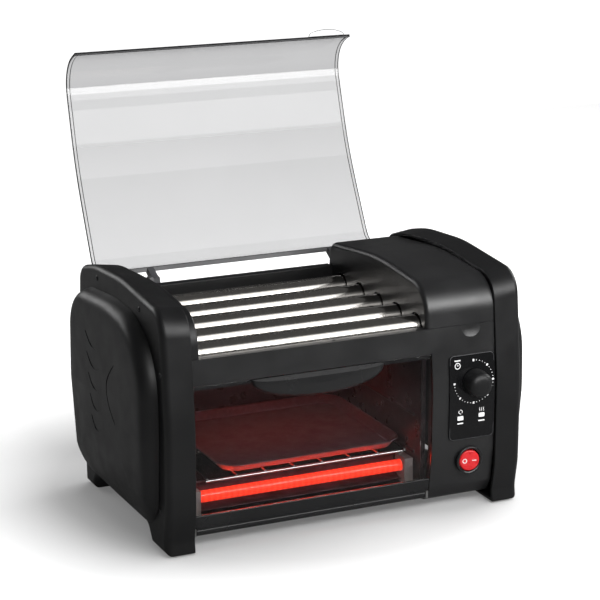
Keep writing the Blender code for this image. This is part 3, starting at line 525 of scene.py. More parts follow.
def boolean(target, bm, operation="DIFFERENCE"):
    """Cuts a shape in body millimetres out of a piece, or joins it, and applies the result."""
    bmesh.ops.recalc_face_normals(bm, faces=bm.faces)
    tool = object_from("tool", bm, target.data.materials[0])
    mesh = tool.data
    step = target.modifiers.new("cut", "BOOLEAN")
    step.operation = operation
    step.solver = "EXACT"
    step.object = tool
    settle(target)
    bpy.data.objects.remove(tool)
    bpy.data.meshes.remove(mesh)


def soften(piece, width, segments=3, angle=EDGE_ANGLE):
    add_bevel(piece, width, segments, angle)
    settle(piece)


def prism(name, outline, low, high, finish, **kept):
    return build(name, solid(prism_into, outline, low, high), finish, **kept)


def drum(centre, radius, low, high, axis, segments=64):
    return solid(prism_into, circle(*centre, radius, segments), low, high, axis)


def rectangle(xs, ys):
    return [(xs[0], ys[0]), (xs[1], ys[0]), (xs[1], ys[1]), (xs[0], ys[1])]


def block(xs, ys, zs):
    return solid(prism_into, rectangle(xs, ys), *zs, "z")


# ---- End caps and side panels ----
def crown_flare(z):
    """How far an end cap's outer edge rises above its corners at a height."""
    return CAP_FLARE * min(1.0, max(0.0, (z - 140.0) / 60.0))


def end_cap(name, side):
    edge, steps = 6.0, 12
    outside = [(CAP_IN, 0.6), (CAP_IN + 0.2, 0.25), (CAP_IN + 0.6, 0.0)]
    for k in range(steps + 1):
        angle = math.pi / 2 * k / steps
        outside.append((CAP_OUT - edge + edge * math.sin(angle), edge * (1 - math.cos(angle))))
    inside = [(CAP_OUT - SKIN, 7.0), (CAP_IN, SKIN)]
    rings = []
    for x, depth in outside + inside:
        share = (x - CAP_IN) / (CAP_OUT - CAP_IN)
        rings.append([(side * x, p.x, p.y + share * crown_flare(p.y))
                      for p in rounded(inset(CAP_CORNERS, depth))])
    bm = bmesh.new()
    made = [[bm.verts.new(point) for point in ring] for ring in rings]
    last = len(outside) - 1
    pairs = [(made[k], made[k + 1]) for k in range(len(made) - 1) if k != last]
    pairs.append((made[-1], made[0]))
    for lower, upper in pairs:
        bridge(bm, lower, upper)
    bm.faces.new(made[last])
    bm.faces.new(made[last + 1])
    return build(name, bm, "black_plastic", stands_for=[name])


def bulge_height(height, z):
    share = min(1.0, max(0.0, (z - PANEL_CORNERS[0][1]) / (72.0 - PANEL_CORNERS[0][1])))
    return height * (0.22 + 0.78 * math.sin(share * math.pi / 2) ** 0.8)


def side_panel(name, side):
    base = CAP_OUT + GAP
    outer = chaikin(PANEL_BULGE, 2)
    inner = [(SKIN, 0.0), (9.0, 9.4), (30.0, 11.0), (54.0, 11.2)]

    def ring(depth, height):
        return [(side * (base + bulge_height(height, p.y)), p.x, p.y)
                for p in rounded(inset(PANEL_CORNERS, depth), 6.0)]

    bm = bmesh.new()
    shells = [[[bm.verts.new(point) for point in ring(*step)] for step in steps]
              for steps in (outer, inner)]
    pairs = [pair for shell in shells for pair in zip(shell, shell[1:])]
    pairs.append((shells[0][0], shells[1][0]))
    for lower, upper in pairs:
        bridge(bm, lower, upper)
    bm.faces.new(shells[0][-1])
    bm.faces.new(shells[1][-1])
    panel = build(name, bm, "black_plastic", stands_for=[name])
    crown = base + PANEL_BULGE[-1][1]
    xs = sorted((side * (crown - GROOVE_DEPTH), side * (crown + 3.0)))
    for stroke, width in GROOVES:
        boolean(panel, solid(prism_into, brush(stroke, width), *xs))


def brush(points, width):
    """Outline of a stroke along a smoothed chain of points, tapered to both ends."""
    chain = [Vector(point) for point in chaikin(points, 3)]
    count = len(chain) - 1
    left, right = [], []
    for index, point in enumerate(chain):
        along = (chain[min(index + 1, count)] - chain[max(index - 1, 0)]).normalized()
        reach = width / 2 * (0.25 + 0.75 * math.sin(math.pi * index / count) ** 0.5)
        normal = Vector((-along.y, along.x)) * reach
        left.append(point + normal)
        right.append(point - normal)
    return left + right[::-1]


GROOVE_DEPTH = 0.55
GROOVES = [([(146.0 - 3.0 * k, 158.5 - 18.0 * k), (134.0 - 2.0 * k, 149.0 - 18.0 * k),
             (121.0 - 1.0 * k, 147.5 - 18.0 * k), (108.0, 152.0 - 18.0 * k)], 2.0)
           for k in range(5)]
GROOVES.append(([(75.5, 146.0), (92.0, 131.0), (95.5, 120.0), (90.0, 107.0), (75.0, 94.5)], 1.7))
CAP_SCREWS = ((154.4, 200.2), (52.5, 198.6), (6.9, 154.9), (11.2, 38.3))


def screws(side):
    """Small cross-head screws round an end cap's rim."""
    bm = bmesh.new()
    for y, z in CAP_SCREWS:
        turned_into(bm, [(side * (CAP_OUT - 0.5), 2.4), (side * (CAP_OUT + 0.2), 2.4),
                         (side * (CAP_OUT + 0.6), 1.9), (side * (CAP_OUT + 0.7), 1.0)],
                    (y, z), segments=28)
    heads = build(f"cap_screws_{'left' if side < 0 else 'right'}", bm, "screw_black",
                  slot="zinc_steel")
    xs = sorted((side * (CAP_OUT + 0.1), side * (CAP_OUT + 2.0)))
    for y, z in CAP_SCREWS:
        for long, wide in ((1.5, 0.3), (0.3, 1.5)):
            cross = rectangle((y - long, y + long), (z - wide, z + wide))
            boolean(heads, solid(prism_into, cross, *xs))


for hand, side in (("left", -1), ("right", 1)):
    end_cap(f"{hand}_end_cap", side)
    side_panel(f"{hand}_side_panel", side)
    screws(side)


# ---- Body skins ----
def bay_skin(name, edge_x, outer_x, low_z, radius, holes, finish):
    """An L-shaped skin: a curved top, and the bay wall that it turns down into."""
    path = over_top(RAIL_TOP + GAP, 165.0)
    under = [Vector((194.5, 165.0)), Vector((187.2, 157.0)), Vector((187.2, low_z)),
             Vector((13.2, low_z)), Vector((13.2, RAIL_TOP + 1.0))]
    way = 1 if outer_x > edge_x else -1
    rings, steps = [], 8
    for k in range(steps + 1):
        angle = math.pi / 2 * k / steps
        depth = radius * (1 - math.sin(angle))
        x = edge_x + way * radius * (1 - math.cos(angle))
        rings.append([(x, p.x, p.y) for p in offset(path, depth) + under])
    rings.append([(outer_x, p.x, p.y) for p in path + under])
    skin = build(name, solid(rings_into, rings), finish, stands_for=[name])
    inner_path = offset(over_top(RAIL_TOP - 6.0, 158.0), SKIN)
    deep = [Vector((184.0, 158.0)), Vector((184.0, low_z - 9.0)), Vector((0.0, low_z - 9.0))]
    xs = sorted((edge_x + way * SKIN, outer_x + way * 9.0))
    boolean(skin, solid(prism_into, inner_path + deep, *xs))
    for index in range(5):
        boolean(skin, drum((ROLLER_Y + ROLLER_PITCH * index, ROLLER_Z), holes, edge_x - 6.0,
                           edge_x + 6.0, "x", 48))


# The motor cover wears the lit copy of the black plastic, whose lighter colour and gloss paint its
# highlights.
bay_skin("motor_cover", BAY_RIGHT, BODY_X, low_z=150.0, radius=4.5, holes=11.6,
         finish="sheen_black")
bay_skin("left_bearing_wall", BAY_LEFT, -BODY_X, low_z=146.0, radius=1.6, holes=4.5,
         finish="black_plastic")


def front_frame():
    face = between(BODY_FRONT, 8.0, RAIL_TOP)
    inner = offset(face, SKIN)
    ledge_back, ledge_low = 11.6, RAIL_TOP - 2.0
    inside = [point for point in inner if point.y < ledge_low - 1.0]
    section = face + [Vector((ledge_back, RAIL_TOP)), Vector((ledge_back, ledge_low)),
                      Vector((inner[-1].x - 0.2, ledge_low))] + inside[::-1]
    # The front frame wears the lit copy of the black plastic, a painted brighter sheen.
    piece = prism("front_frame", section, -BODY_X, BODY_X, "sheen_black",
                  stands_for=["front_frame"])
    boolean(piece, block((-BODY_X - 5.0, COLUMN_X), (-20.0, 40.0), (0.0, RAIL_LOW)))
    cheek = between(BODY_FRONT, 14.0, RAIL_TOP - 4.0)
    flange = solid(prism_into, strip(cheek, 1.2, 9.0), COLUMN_X + 0.5, COLUMN_X + 2.4)
    boolean(piece, flange, "UNION")
    boolean(piece, drum(SWITCH, 11.5, -8.0, 12.0, "y"))
    boolean(piece, drum(DIAL, 4.5, -8.0, 8.0, "y", 32))
    soften(piece, 0.7)
    bowl = chaikin([(-9.0, 17.0), (0.8, 14.6), (1.7, 13.2), (3.9, 6.5), (4.0, 3.0)], 3)
    boolean(piece, solid(turned_into, bowl, (TAB_X + 4.0, RAIL_TOP + 1.5), "y", 72))


front_frame()


def print_onto(name, shapes):
    """Thin print on the label plate: outlines in (x, z), each following the plate's curve."""
    bm = bmesh.new()
    for outline in shapes:
        front, back = ([bm.verts.new((x, front_y(z) - PLATE_PROUD + lift, z)) for x, z in outline]
                       for lift in (-0.07, 0.05))
        bm.faces.new(front)
        bm.faces.new(back[::-1])
        bridge(bm, front, back)
    build(name, bm, "print_white", slot="gloss_black")


def arc_band(centre, radius, width, start, sweep, segments=24):
    """The outline of a flat arc, from and through angles in degrees."""
    inner, outer = [], []
    for k in range(segments + 1):
        angle = math.radians(start + sweep * k / segments)
        for ring, r in ((inner, radius - width / 2), (outer, radius + width / 2)):
            ring.append((centre[0] + r * math.cos(angle), centre[1] + r * math.sin(angle)))
    return outer + inner[::-1]


def spun(outline, centre, degrees):
    turn = math.radians(degrees)
    return [(centre[0] + (x - centre[0]) * math.cos(turn) - (z - centre[1]) * math.sin(turn),
             centre[1] + (x - centre[0]) * math.sin(turn) + (z - centre[1]) * math.cos(turn))
            for x, z in outline]


def label_plate():
    path = resampled(between(BODY_FRONT, 60.0, 144.0), 2.0)
    plate = prism("label_plate", strip(path, -PLATE_PROUD, -GAP), 90.0, 142.0, "gloss_black",
                  stands_for=["label_plate"], slot="gloss_black")
    trim = round_box(94.5, 138.3, 64.0, 140.0, 4.0, 8)
    boolean(plate, solid(prism_into, trim, -8.0, 8.0, "y"), "INTERSECT")
    boolean(plate, drum(DIAL, 4.4, -8.0, 8.0, "y", 40))
    soften(plate, 0.45, 3, 40.0)
    # A thin grey tube round the plate's face, a painted highlight along the edge where its rounded
    # border catches light.
    rim = [(x, front_y(z) - 1.25, z) for x, z in round_box(95.1, 137.7, 64.6, 139.4, 4.0, 8)]
    build("label_rim", solid(tube_into, rim, 0.35, 8, closed=True), "grey_plastic",
          slot="gloss_black")
    ring, (mid_x, mid_z) = 18.8, (117.7, 115.3)
    marks = []
    for step in range(31):
        half, length = (0.85, 1.0) if step % 5 == 0 else (0.36, 0.36)
        bar = round_box(mid_x + ring - length, mid_x + ring + length, mid_z - half, mid_z + half,
                        half * 0.4, 2)
        marks.append(spun(bar, (mid_x, mid_z), 90.0 - step * 9.0))
    print_onto("dial_marks", marks)
    clock, lamp = (102.3, 130.6), (105.2, 89.6)
    icons = [arc_band(clock, 2.5, 0.7, 0.0, 359.0, 40),
             round_box(102.0, 102.5, 130.4, 132.2, 0.1, 1),
             spun(round_box(102.2, 103.6, 130.4, 130.8, 0.1, 1), clock, 20.0),
             round_box(99.4, 105.2, 134.6, 135.7, 0.3, 2),
             arc_band(lamp, 1.7, 0.6, -40.0, 150.0), arc_band(lamp, 1.7, 0.6, 140.0, 150.0),
             round_box(102.3, 108.1, 82.0, 85.8, 0.8, 3),
             round_box(102.4, 108.0, 78.6, 79.8, 0.25, 2)]
    for x in (123.9, 125.8, 127.7):
        wave = [(x + 0.35 * math.sin(k * 1.05), 87.8 + 0.5 * k) for k in range(8)]
        icons.append([(a - 0.24, z) for a, z in wave] + [(a + 0.24, z) for a, z in wave][::-1])
    icons += [round_box(123.0, 128.8, 82.6, 86.4, 0.8, 3),
              round_box(122.8, 128.9, 78.8, 80.0, 0.25, 2)]
    print_onto("label_icons", icons)


label_plate()


# ---- Controls ----
def timer_knob():
    face = front_y(DIAL[1] - 12.0) - PLATE_PROUD - GAP
    dome = chaikin([(face, 12.0), (face - 1.4, 12.0), (face - 9.0, 11.6), (face - 12.5, 10.4),
                    (face - 14.8, 7.0), (face - 15.4, 2.5), (face - 15.45, 0.4)], 3)
    knob = solid(turned_into, [(8.0, 2.9), (face + 0.01, 2.9)] + dome, DIAL, "y", 72)
    build("timer_knob", knob, "black_plastic", body="timer_knob", stands_for=["timer_knob"])


def power_switch():
    rim = front_y(SWITCH[1] + 13.0) - 2.9
    bezel = chaikin([(rim + 2.4, 12.6), (rim + 0.9, 12.6), (rim, 11.9), (rim - 0.05, 11.2),
                     (rim + 0.5, 10.4)], 2)
    shell = [(24.0, 8.5), (23.0, 9.5), (12.0, 9.5), (9.0, 11.1), (rim + 2.41, 11.1)] + bezel
    ring = build("power_switch_body", solid(turned_into, shell, SWITCH, "y", 72), "handle_black",
                 stands_for=["power_switch_body"])
    boolean(ring, drum(SWITCH, 10.2, rim - 3.0, 7.0, "y", 72))
    tilt = turn_about((SWITCH[0], rim + 4.2, SWITCH[1]), -ROCKER_TILT, "Z")
    face = rim - 0.6
    cap = [(rim + 7.2, 8.6), (rim + 4.2, 9.5)]
    cap += chaikin([(rim + 1.2, 9.35), (rim + 0.1, 9.2), (face, 8.2), (face, 7.4),
                    (face + 0.12, 4.0), (face + 0.16, 0.3)], 2)
    build("power_switch_rocker", solid(turned_into, cap, SWITCH, "y", 72), "red_plastic",
          body="power_rocker", turn=tilt, stands_for=["power_switch_rocker"], slot="red_plastic")
    signs = bmesh.new()
    for outline in (arc_band((SWITCH[0] - 4.4, SWITCH[1]), 1.75, 0.75, 0.0, 359.9, 40),
                    round_box(SWITCH[0] + 2.3, SWITCH[0] + 6.3, SWITCH[1] - 0.4,
                              SWITCH[1] + 0.4, 0.2, 2)):
        prism_into(signs, outline, face - 0.06, face + 0.3, "y")
    build("rocker_signs", signs, "print_white", body="power_rocker", turn=tilt,
          slot="red_plastic")


timer_knob()
power_switch()


# ---- Rollers and bed ----
def rollers():
    for index in range(5):
        name = f"roller_{index + 1}"
        centre = (ROLLER_Y + ROLLER_PITCH * index, ROLLER_Z)
        left, right = BAY_LEFT + 1.0, BAY_RIGHT + 3.5
        profile = [(-138.6, 2.6), (-138.2, 3.0), (left - 0.01, 3.0), (left, 8.6),
                   (left + 0.25, 9.4), (left + 0.9, 9.85), (left + 1.8, ROLLER_R),
                   (left + 5.0, ROLLER_R), (left + 5.3, ROLLER_R - 0.25),
                   (left + 6.1, ROLLER_R - 0.25), (left + 6.4, ROLLER_R),
                   (right - 6.4, ROLLER_R), (right - 1.0, ROLLER_R), (right - 0.3, 9.7),
                   (right, 9.0), (right + 0.01, 3.0), (96.6, 3.0), (97.0, 2.6)]
        build(name, solid(turned_into, profile, centre, segments=96), "stainless", body=name,
              stands_for=[name], slot="stainless")


def bed():
    section = [(187.5, 151.0), (190.0, 151.0), (190.0, 174.5), (197.0, 174.5), (196.5, 178.0),
               (187.5, 178.0)]
    prism("bed_rear_rail", section, BAY_LEFT + GAP, BAY_RIGHT - GAP, "black_plastic",
          stands_for=["bed_rear_rail"], bevel=0.7)
    head = [(RAIL_TOP - 0.6, 1.7), (RAIL_TOP + 0.12, 1.7), (RAIL_TOP + 0.3, 1.2)]
    build("ledge_screw", solid(turned_into, head, (-9.8, 9.0), "z", 28), "screw_black",
          slot="zinc_steel")


def tray_into(bm, xs, ys, zs, radius, wall, flare, lip):
    """An open pan with a filleted floor and a rolled rim."""
    half = wall / 2
    middle = [(zs[0] + half, -6.0), (zs[0] + half, -2.5), (zs[0] + 0.9, -0.8), (zs[0] + 2.6, 0.0),
              (zs[1] - 1.4, flare - 0.4), (zs[1] - 0.5, flare), (zs[1] - half, flare + lip)]
    chain = chaikin(middle, 2)
    rings = []
    for way in (1, -1):
        side = []
        for index, (z, g) in enumerate(chain):
            ahead = chain[min(index + 1, len(chain) - 1)]
            behind = chain[max(index - 1, 0)]
            dz, dg = ahead[0] - behind[0], ahead[1] - behind[1]
            size = math.hypot(dz, dg) or 1.0
            side.append((z - way * half * dg / size, g + way * half * dz / size))
        rings += side if way == 1 else side[::-1]
    rings_into(bm, [[(x, y, z) for x, y in
                     round_box(xs[0] - g, xs[1] + g, ys[0] - g, ys[1] + g, max(0.5, radius + g), 8)]
                    for z, g in rings])


def trays():
    for name, xs, ys, zs, radius, wall, flare, lip, finish, slot in (
            ("drip_pan", (-130.5, 72.5), (14.5, 185.0), (139.4, 149.0), 5.0, 0.8, 0.2, 0.2,
             "zinc_steel", "zinc_steel"),
            ("crumb_tray", (-131.0, 72.0), (16.0, 182.0), (17.6, 20.6), 4.0, 0.7, 0.1, 0.1,
             "stainless", "stainless"),
            ("bake_tray", (-100.0, 60.0), (29.0, 162.0), (55.0, 63.0), 14.0, 0.8, 4.0, 2.0,
             "tray_coat", "dark_enamel")):
        build(name, solid(tray_into, xs, ys, zs, radius, wall, flare, lip), finish,
              stands_for=[name], slot=slot)


rollers()
bed()
trays()


# ---- Oven ----
def wire_rack():
    bm = bmesh.new()
    xs = [-118.0 + 26.3 * index for index in range(8)]
    low_z, high_z = 51.7, 53.5
    for y in (26.0, 98.0, 170.0):
        tube_into(bm, [(xs[0] - 1.1, y, low_z), (xs[-1] + 1.1, y, low_z)], 1.05, 16)
    for x in xs:
        tube_into(bm, [(x, 24.9, high_z), (x, 171.0, high_z)], 0.95, 14)
    build("wire_rack", bm, "bright_wire", stands_for=["wire_rack"], slot="stainless")


def heaters():
    y, z = 34.0, 36.0
    tube = solid(turned_into, [(-126.0, 4.4), (-125.4, 5.0), (67.4, 5.0), (68.0, 4.4)], (y, z),
                 segments=40)
    build("lower_heater", tube, "quartz_hot", stands_for=["lower_heater"], slot="quartz_hot")
    reach_x, y0, y1, height, steps = -118.0, 59.2, 131.2, 146.2, 32
    bend = (y1 - y0) / 2
    path = [(66.0, y0, height), (20.0, y0, height), (-40.0, y0, height)]
    for step in range(steps + 1):
        angle = math.pi * (0.5 + step / steps)
        path.append((reach_x + bend + bend * math.cos(angle),
                     (y0 + y1) / 2 - bend * math.sin(angle), height))
    path += [(-40.0, y1, height), (20.0, y1, height), (66.0, y1, height)]
    build("upper_heater", solid(tube_into, path, 2.7, 20), "rod_hot",
          stands_for=["upper_heater"], slot="quartz_hot")


def heater_reflector():
    centre_y, centre_z, radius, sheet = 33.0, 37.0, 12.6, 0.6
    arc = [math.radians(-105.0 + 3.0 * step) for step in range(61)]
    section = [(centre_y + r * math.cos(a), centre_z + r * math.sin(a))
               for r, turns in ((radius, arc), (radius - sheet, arc[::-1])) for a in turns]
    prism("heater_reflector", section, -123.6, 65.6, "dark_steel",
          stands_for=["heater_reflector"], slot="stainless", bevel=0.12)


def oven_liner():
    xs, ys, zs, sheet = (-134.5, 76.0), (13.5, 188.0), (16.0, 138.6), 1.2
    liner = build("oven_liner", block(xs, ys, zs), "dark_enamel", stands_for=["oven_liner"],
                  slot="dark_enamel")
    soften(liner, 2.2, 4)
    inner = round_box(xs[0] + sheet, xs[1] - sheet, zs[0] + sheet, zs[1] - sheet, 4.0)
    boolean(liner, solid(prism_into, inner, ys[0] - 9.0, ys[1] - sheet, "y"))
    ribs = bmesh.new()
    for x, way in ((xs[0] + sheet, 1), (xs[1] - sheet, -1)):
        for z in (50.0, 84.0):
            rib = [(x - way * 0.3, z - 2.2), (x + way * 2.2, z - 0.7), (x + way * 2.2, z + 0.7),
                   (x - way * 0.3, z + 2.2)]
            prism_into(ribs, rib, 24.0, 172.0, "y")
    build("rack_runners", ribs, "dark_enamel", slot="dark_enamel", bevel=0.5)
    flange = block((75.2, COLUMN_X + 0.4), (12.4, 13.3), (17.0, 138.0))
    build("liner_front_flange", flange, "dark_enamel", slot="dark_enamel", bevel=0.3)


def oven_door():
    """Clear bent panel, held at its foot in a dark rail that carries the hinge barrel."""
    split_z, top_band = 32.0, 139.6
    path = faired(between(BODY_FRONT, split_z, DOOR_Z[1]), 2.0, 6)
    prism("door_window", strip(path, 0.0, SKIN), *DOOR_X, "door_glass", body="oven_door",
          stands_for=["oven_door"], slot="door_glass", bevel=0.5)
    low = resampled(between(BODY_FRONT, DOOR_Z[0], split_z - 0.15), 1.0)
    rail = prism("door_bottom_rail", strip(low, 0.0, SKIN), *DOOR_X, "handle_black",
                 body="oven_door", slot="black_plastic", bevel=0.6)
    barrel_x = (DOOR_X[0] + 2.6, DOOR_X[1] - 2.6)
    boolean(rail, drum(DOOR_PIVOT, 3.6, *barrel_x, "x", 40), "UNION")
    web = [(DOOR_PIVOT[0] - 3.0, DOOR_PIVOT[1] + 1.0), (DOOR_PIVOT[0] + 0.4, DOOR_PIVOT[1] + 3.0),
           (low[0].x + SKIN - 0.2, DOOR_Z[0] + 1.4), (low[0].x + 0.4, DOOR_Z[0] + 1.0)]
    boolean(rail, solid(prism_into, web, *barrel_x), "UNION")
    boolean(rail, drum(DOOR_PIVOT, 2.0, DOOR_X[0] - 4.0, DOOR_X[1] + 4.0, "x", 32))
    band = resampled(between(BODY_FRONT, top_band, DOOR_Z[1] - 0.4), 2.0)
    prism("door_top_band", strip(band, SKIN + 0.02, SKIN + 0.5), DOOR_X[0] + 0.4,
          DOOR_X[1] - 0.4, "black_plastic", body="oven_door")


def door_handle():
    x0, half, drop, reach, steps = -28.0, 60.0, 19.0, 13.0, 64
    top_z = DOOR_Z[1]
    levels = chaikin([(0.0, 1.0), (0.30, 0.985), (0.62, 0.90), (0.86, 0.72), (0.97, 0.50),
                      (1.0, 0.30)], 2)
    rings = []
    for depth, spread in levels:
        ring = []
        for step in range(steps + 1):
            angle = math.pi * step / steps
            x = x0 - half * spread * math.cos(angle)
            z = top_z - drop * spread * math.sin(angle) ** 0.85
            ring.append((x, front_y(min(z, top_z - 0.01)) - GAP - reach * depth, z))
        rings.append(ring)
    build("door_handle", solid(rings_into, rings), "handle_black", body="oven_door",
          stands_for=["door_handle"], bevel=0.8)


wire_rack()
heaters()
heater_reflector()
oven_liner()
oven_door()
door_handle()


# ---- Hood ----
def hood():
    """The hood is shaped shut, where its sections follow the body, and turned up to rest."""
    inner, sheet = -1.3, 1.4
    path = faired(over_top(166.2, 188.0), 2.0, 8)
    count = len(path) - 1
    narrow = [1.0 - 0.014 * (1 - k / count) for k in range(count + 1)]
    outside, inside, bead = (offset(path, depth) for depth in (inner - sheet, inner, inner + 0.45))
    stations = [(-HOOD_X + reach, bead if 0.0 < reach < 3.5 else inside)
                for reach in (0.0, 0.4, 3.0, 3.5, 4.5, 36.0, 72.0, 106.0)]
    stations += [(-x, within) for x, within in stations[::-1]]
    rings = []
    for x, within in stations:
        ring = [[(x * share, p.x, p.y) for share, p in zip(narrow, side)]
                for side in (outside, within)]
        rings.append(ring[0] + ring[1][::-1])
    rest = dict(body="hood", slot="clear_plastic",
                turn=turn_about((0.0, *HOOD_PIVOT), -HOOD_OPEN, "X"))
    build("hood", solid(rings_into, rings), "clear_plastic", stands_for=["hood"], crease=50.0,
          **rest)
    lip_y = path[0].x + inner - sheet / 2
    half_round = [(TAB_X + TAB_HALF * math.cos(math.pi * k / 40),
                   lip_y - sheet / 2 - 0.35 - (TAB_REACH - 2.4) * math.sin(math.pi * k / 40))
                  for k in range(41)]
    build("hood_lift_tab", solid(prism_into, half_round, 166.3, 168.1, "z"), "clear_tab",
          bevel=0.35, **rest)
    # Dark lines along the hood's sides and round the tab: painted shade for the way their clear
    # edges look black.
    lines = bmesh.new()
    middle = offset(path, inner - sheet / 2)
    for side in (-1, 1):
        for inward in (0.5, 3.3):
            tube_into(lines, [((HOOD_X - inward) * side * share, p.x, p.y)
                              for share, p in zip(narrow, middle)], 0.38, 8)
    tube_into(lines, [(x, y, 167.2) for x, y in half_round], 0.3, 8)
    build("hood_edge_lines", lines, "clear_edge", **rest)
    # The lip is real; its dark finish is painted shade for the clear plastic seen edge-on.
    face = offset(path[:3], inner - sheet - 0.3)
    back = offset(path[:3], -0.4)
    reach = HOOD_X * narrow[0] + 0.15
    prism("hood_lip", [face[0], face[1], back[1], back[0]], -reach, reach, "clear_edge",
          bevel=0.4, **rest)


hood()

KEPT = {
    "black_plastic": ["rear_panel"],
    "grey_plastic": ["hood_hinge_bar", "hinge_bracket_left", "hinge_bracket_right"],
    "rubber": ["cord_inlet_grommet", *(f"rubber_foot_{end}_{side}" for end in ("front", "rear")
                                       for side in ("left", "right"))],
    "zinc_steel": ["base_pan", "door_hinge_rod", "gear_plate", "gear_motor", "timer_body"],
    # The heater holders take the ceramic darkened as painted shade.
    "ceramic": ["heater_holder_left", "heater_holder_right"],
    "nylon": [*(f"roller_gear_{k}" for k in range(1, 6)), *(f"idler_gear_{k}" for k in range(1, 5)),
              "motor_pinion", "bearing_strip_left", "bearing_strip_right"],
}
for finish, names in KEPT.items():
    for name in names:
        node = frame["nodes"][name]
        node.data.materials.clear()
        node.data.materials.append(FINISH[finish])
        node.data.shade_smooth()
        node.data.set_sharp_from_angle(angle=math.radians(KEPT_CREASE))


# ---- Floor, light and camera ----
FLOOR_SHADE = (0.62, 0.18)  # seen plainly, and mirrored in the object
FLOOR_GLOW_AND_PAINTED_SHADOW = (0.14, 0.66)  # near the object, where the low glow paints a shadow round it, and away from it
PAINTED_SHADOW_REACH = (0.20, 0.36)  # distances from the middle over which the painted shadow gives way to the full glow
FLOOR_GLOW_MIRRORED = 0.03
WORLD_GLOW = (0.07, 1.14)  # as light and in mirrored rays, and seen plainly
CAMERA_PLACE = (-0.74069, -1.50648 + SHIFT_Y * MM, 0.66556)
CAMERA_AIM = (0.40594, 0.87875, -0.25104)
HEATER_RED = (1.0, 0.06, 0.02)
# Stacked front softboxes, from low z to high z, with the radiance of each.
FRONT_SOFTBOX = ((0.36, 0.63, 6.5), (0.63, 0.72, 3.4), (0.72, 0.88, 2.0), (0.88, 1.25, 1.0))
FRONT_X, FRONT_Y, FRONT_WIDTH = 0.45, -0.75, 1.5


def floor():
    """Pale floor, white away from the object, whose glow is lowered near it as a painted shadow,
    and dim in its glossy sides.
    """
    bm = bmesh.new()
    bmesh.ops.create_grid(bm, x_segments=1, y_segments=1, size=1.5)
    mesh = bpy.data.meshes.new("floor")
    bm.to_mesh(mesh)
    bm.free()
    ground = bpy.data.objects.new("floor", mesh)
    scene.collection.objects.link(ground)
    pale = surface("pale_floor", FLOOR_SHADE[:1] * 3, 0.8, Emission_Color=(1.0, 1.0, 1.0, 1.0),
                   Specular_IOR_Level=0.0)
    tree = pale.node_tree
    shader = tree.nodes["Principled BSDF"]
    mirrored = tree.nodes.new("ShaderNodeLightPath").outputs["Glossy Depth"]
    place = tree.nodes.new("ShaderNodeTexCoord")
    reach = tree.nodes.new("ShaderNodeVectorMath")
    reach.operation = "LENGTH"
    tree.links.new(place.outputs["Object"], reach.inputs[0])
    remap(tree, mirrored, shader.inputs["Base Color"], FLOOR_SHADE)
    level = remap(tree, mirrored, shader.inputs["Emission Strength"], (0.0, FLOOR_GLOW_MIRRORED))
    # Lower glow near the object paints a shadow on the floor round it.
    remap(tree, reach.outputs["Value"], level.inputs["To Min"], FLOOR_GLOW_AND_PAINTED_SHADOW, PAINTED_SHADOW_REACH)
    mesh.materials.append(pale)


def area_light(name, place, target, size, power, mirrored=True, colour=(1.0, 1.0, 1.0)):
    """A softbox in watts, hidden from the camera and, if not mirrored, from reflections too."""
    data = bpy.data.lights.new(name, "AREA")
    data.shape = "RECTANGLE"
    data.size, data.size_y = size
    data.energy = power
    data.color = colour
    lamp = bpy.data.objects.new(name, data)
    lamp.location = place
    lamp.rotation_euler = (Vector(target) - Vector(place)).to_track_quat("-Z", "Y").to_euler()
    lamp.visible_camera = False
    lamp.visible_glossy = mirrored
    lamp.visible_transmission = mirrored
    scene.collection.objects.link(lamp)


def heater_glow(name, node, up, above, power):
    """A heater's red light, just above or below a node's top, shining up (1) or down (-1)."""
    low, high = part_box(node)
    x, y, z = (low[0] + high[0]) / 2, (low[1] + high[1]) / 2, high[2] + above
    area_light(name, (x, y, z), (x, y + 0.001, z + 0.1 * up), (0.8 * (high[0] - low[0]), 0.012),
               power, False, HEATER_RED)


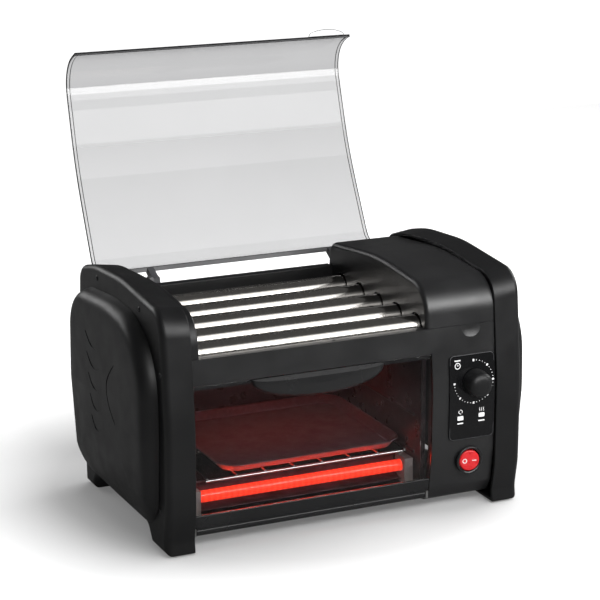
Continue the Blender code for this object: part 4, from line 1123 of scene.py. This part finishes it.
def world():
    """White where it is seen, directly or through the clear parts, and dim in reflections."""
    made = bpy.data.worlds.new("studio")
    made.use_nodes = True
    nodes, links = made.node_tree.nodes, made.node_tree.links
    background = nodes["Background"]
    background.inputs["Color"].default_value = (1.0, 1.0, 1.0, 1.0)
    path = nodes.new("ShaderNodeLightPath")
    seen = nodes.new("ShaderNodeMath")
    seen.operation = "MAXIMUM"
    links.new(path.outputs["Is Camera Ray"], seen.inputs[0])
    links.new(path.outputs["Is Transmission Ray"], seen.inputs[1])
    plain = nodes.new("ShaderNodeMath")
    plain.operation = "SUBTRACT"
    plain.use_clamp = True
    links.new(seen.outputs[0], plain.inputs[0])
    links.new(path.outputs["Glossy Depth"], plain.inputs[1])
    remap(made.node_tree, plain.outputs[0], background.inputs["Strength"], WORLD_GLOW)
    scene.world = made
    scene.view_settings.view_transform = "Standard"


def camera():
    data = bpy.data.cameras.new("camera")
    data.lens = 126.81
    data.sensor_width = 36.0
    data.shift_y = -0.05823
    view = bpy.data.objects.new("camera", data)
    view.location = CAMERA_PLACE
    view.rotation_euler = Vector(CAMERA_AIM).to_track_quat("-Z", "Y").to_euler()
    scene.collection.objects.link(view)
    scene.camera = view


floor()
world()
camera()
area_light("overhead_softbox", (0.35, 0.15, 1.8), (0.0, 0.0, 0.1), (1.3, 1.0), 30.0,
           mirrored=False)
for number, (low_z, high_z, radiance) in enumerate(FRONT_SOFTBOX, 1):
    height, mid_z = high_z - low_z, (low_z + high_z) / 2
    area_light(f"front_softbox_{number}", (FRONT_X, FRONT_Y, mid_z), (FRONT_X, 0.0, mid_z),
               (FRONT_WIDTH, height), math.pi * FRONT_WIDTH * height * radiance)
area_light("rear_softbox", (-0.9, 1.5, 0.8), (0.0, 0.0, 0.15), (1.2, 0.8), 9.0)
area_light("right_softbox", (1.7, 0.4, 0.8), (0.0, 0.0, 0.15), (1.0, 0.7), 12.0)
heater_glow("lower_heater_glow", "lower_heater", 1, 0.002, 0.5)
heater_glow("upper_heater_glow", "oven_liner", -1, -0.003, 0.14)

even_shading()
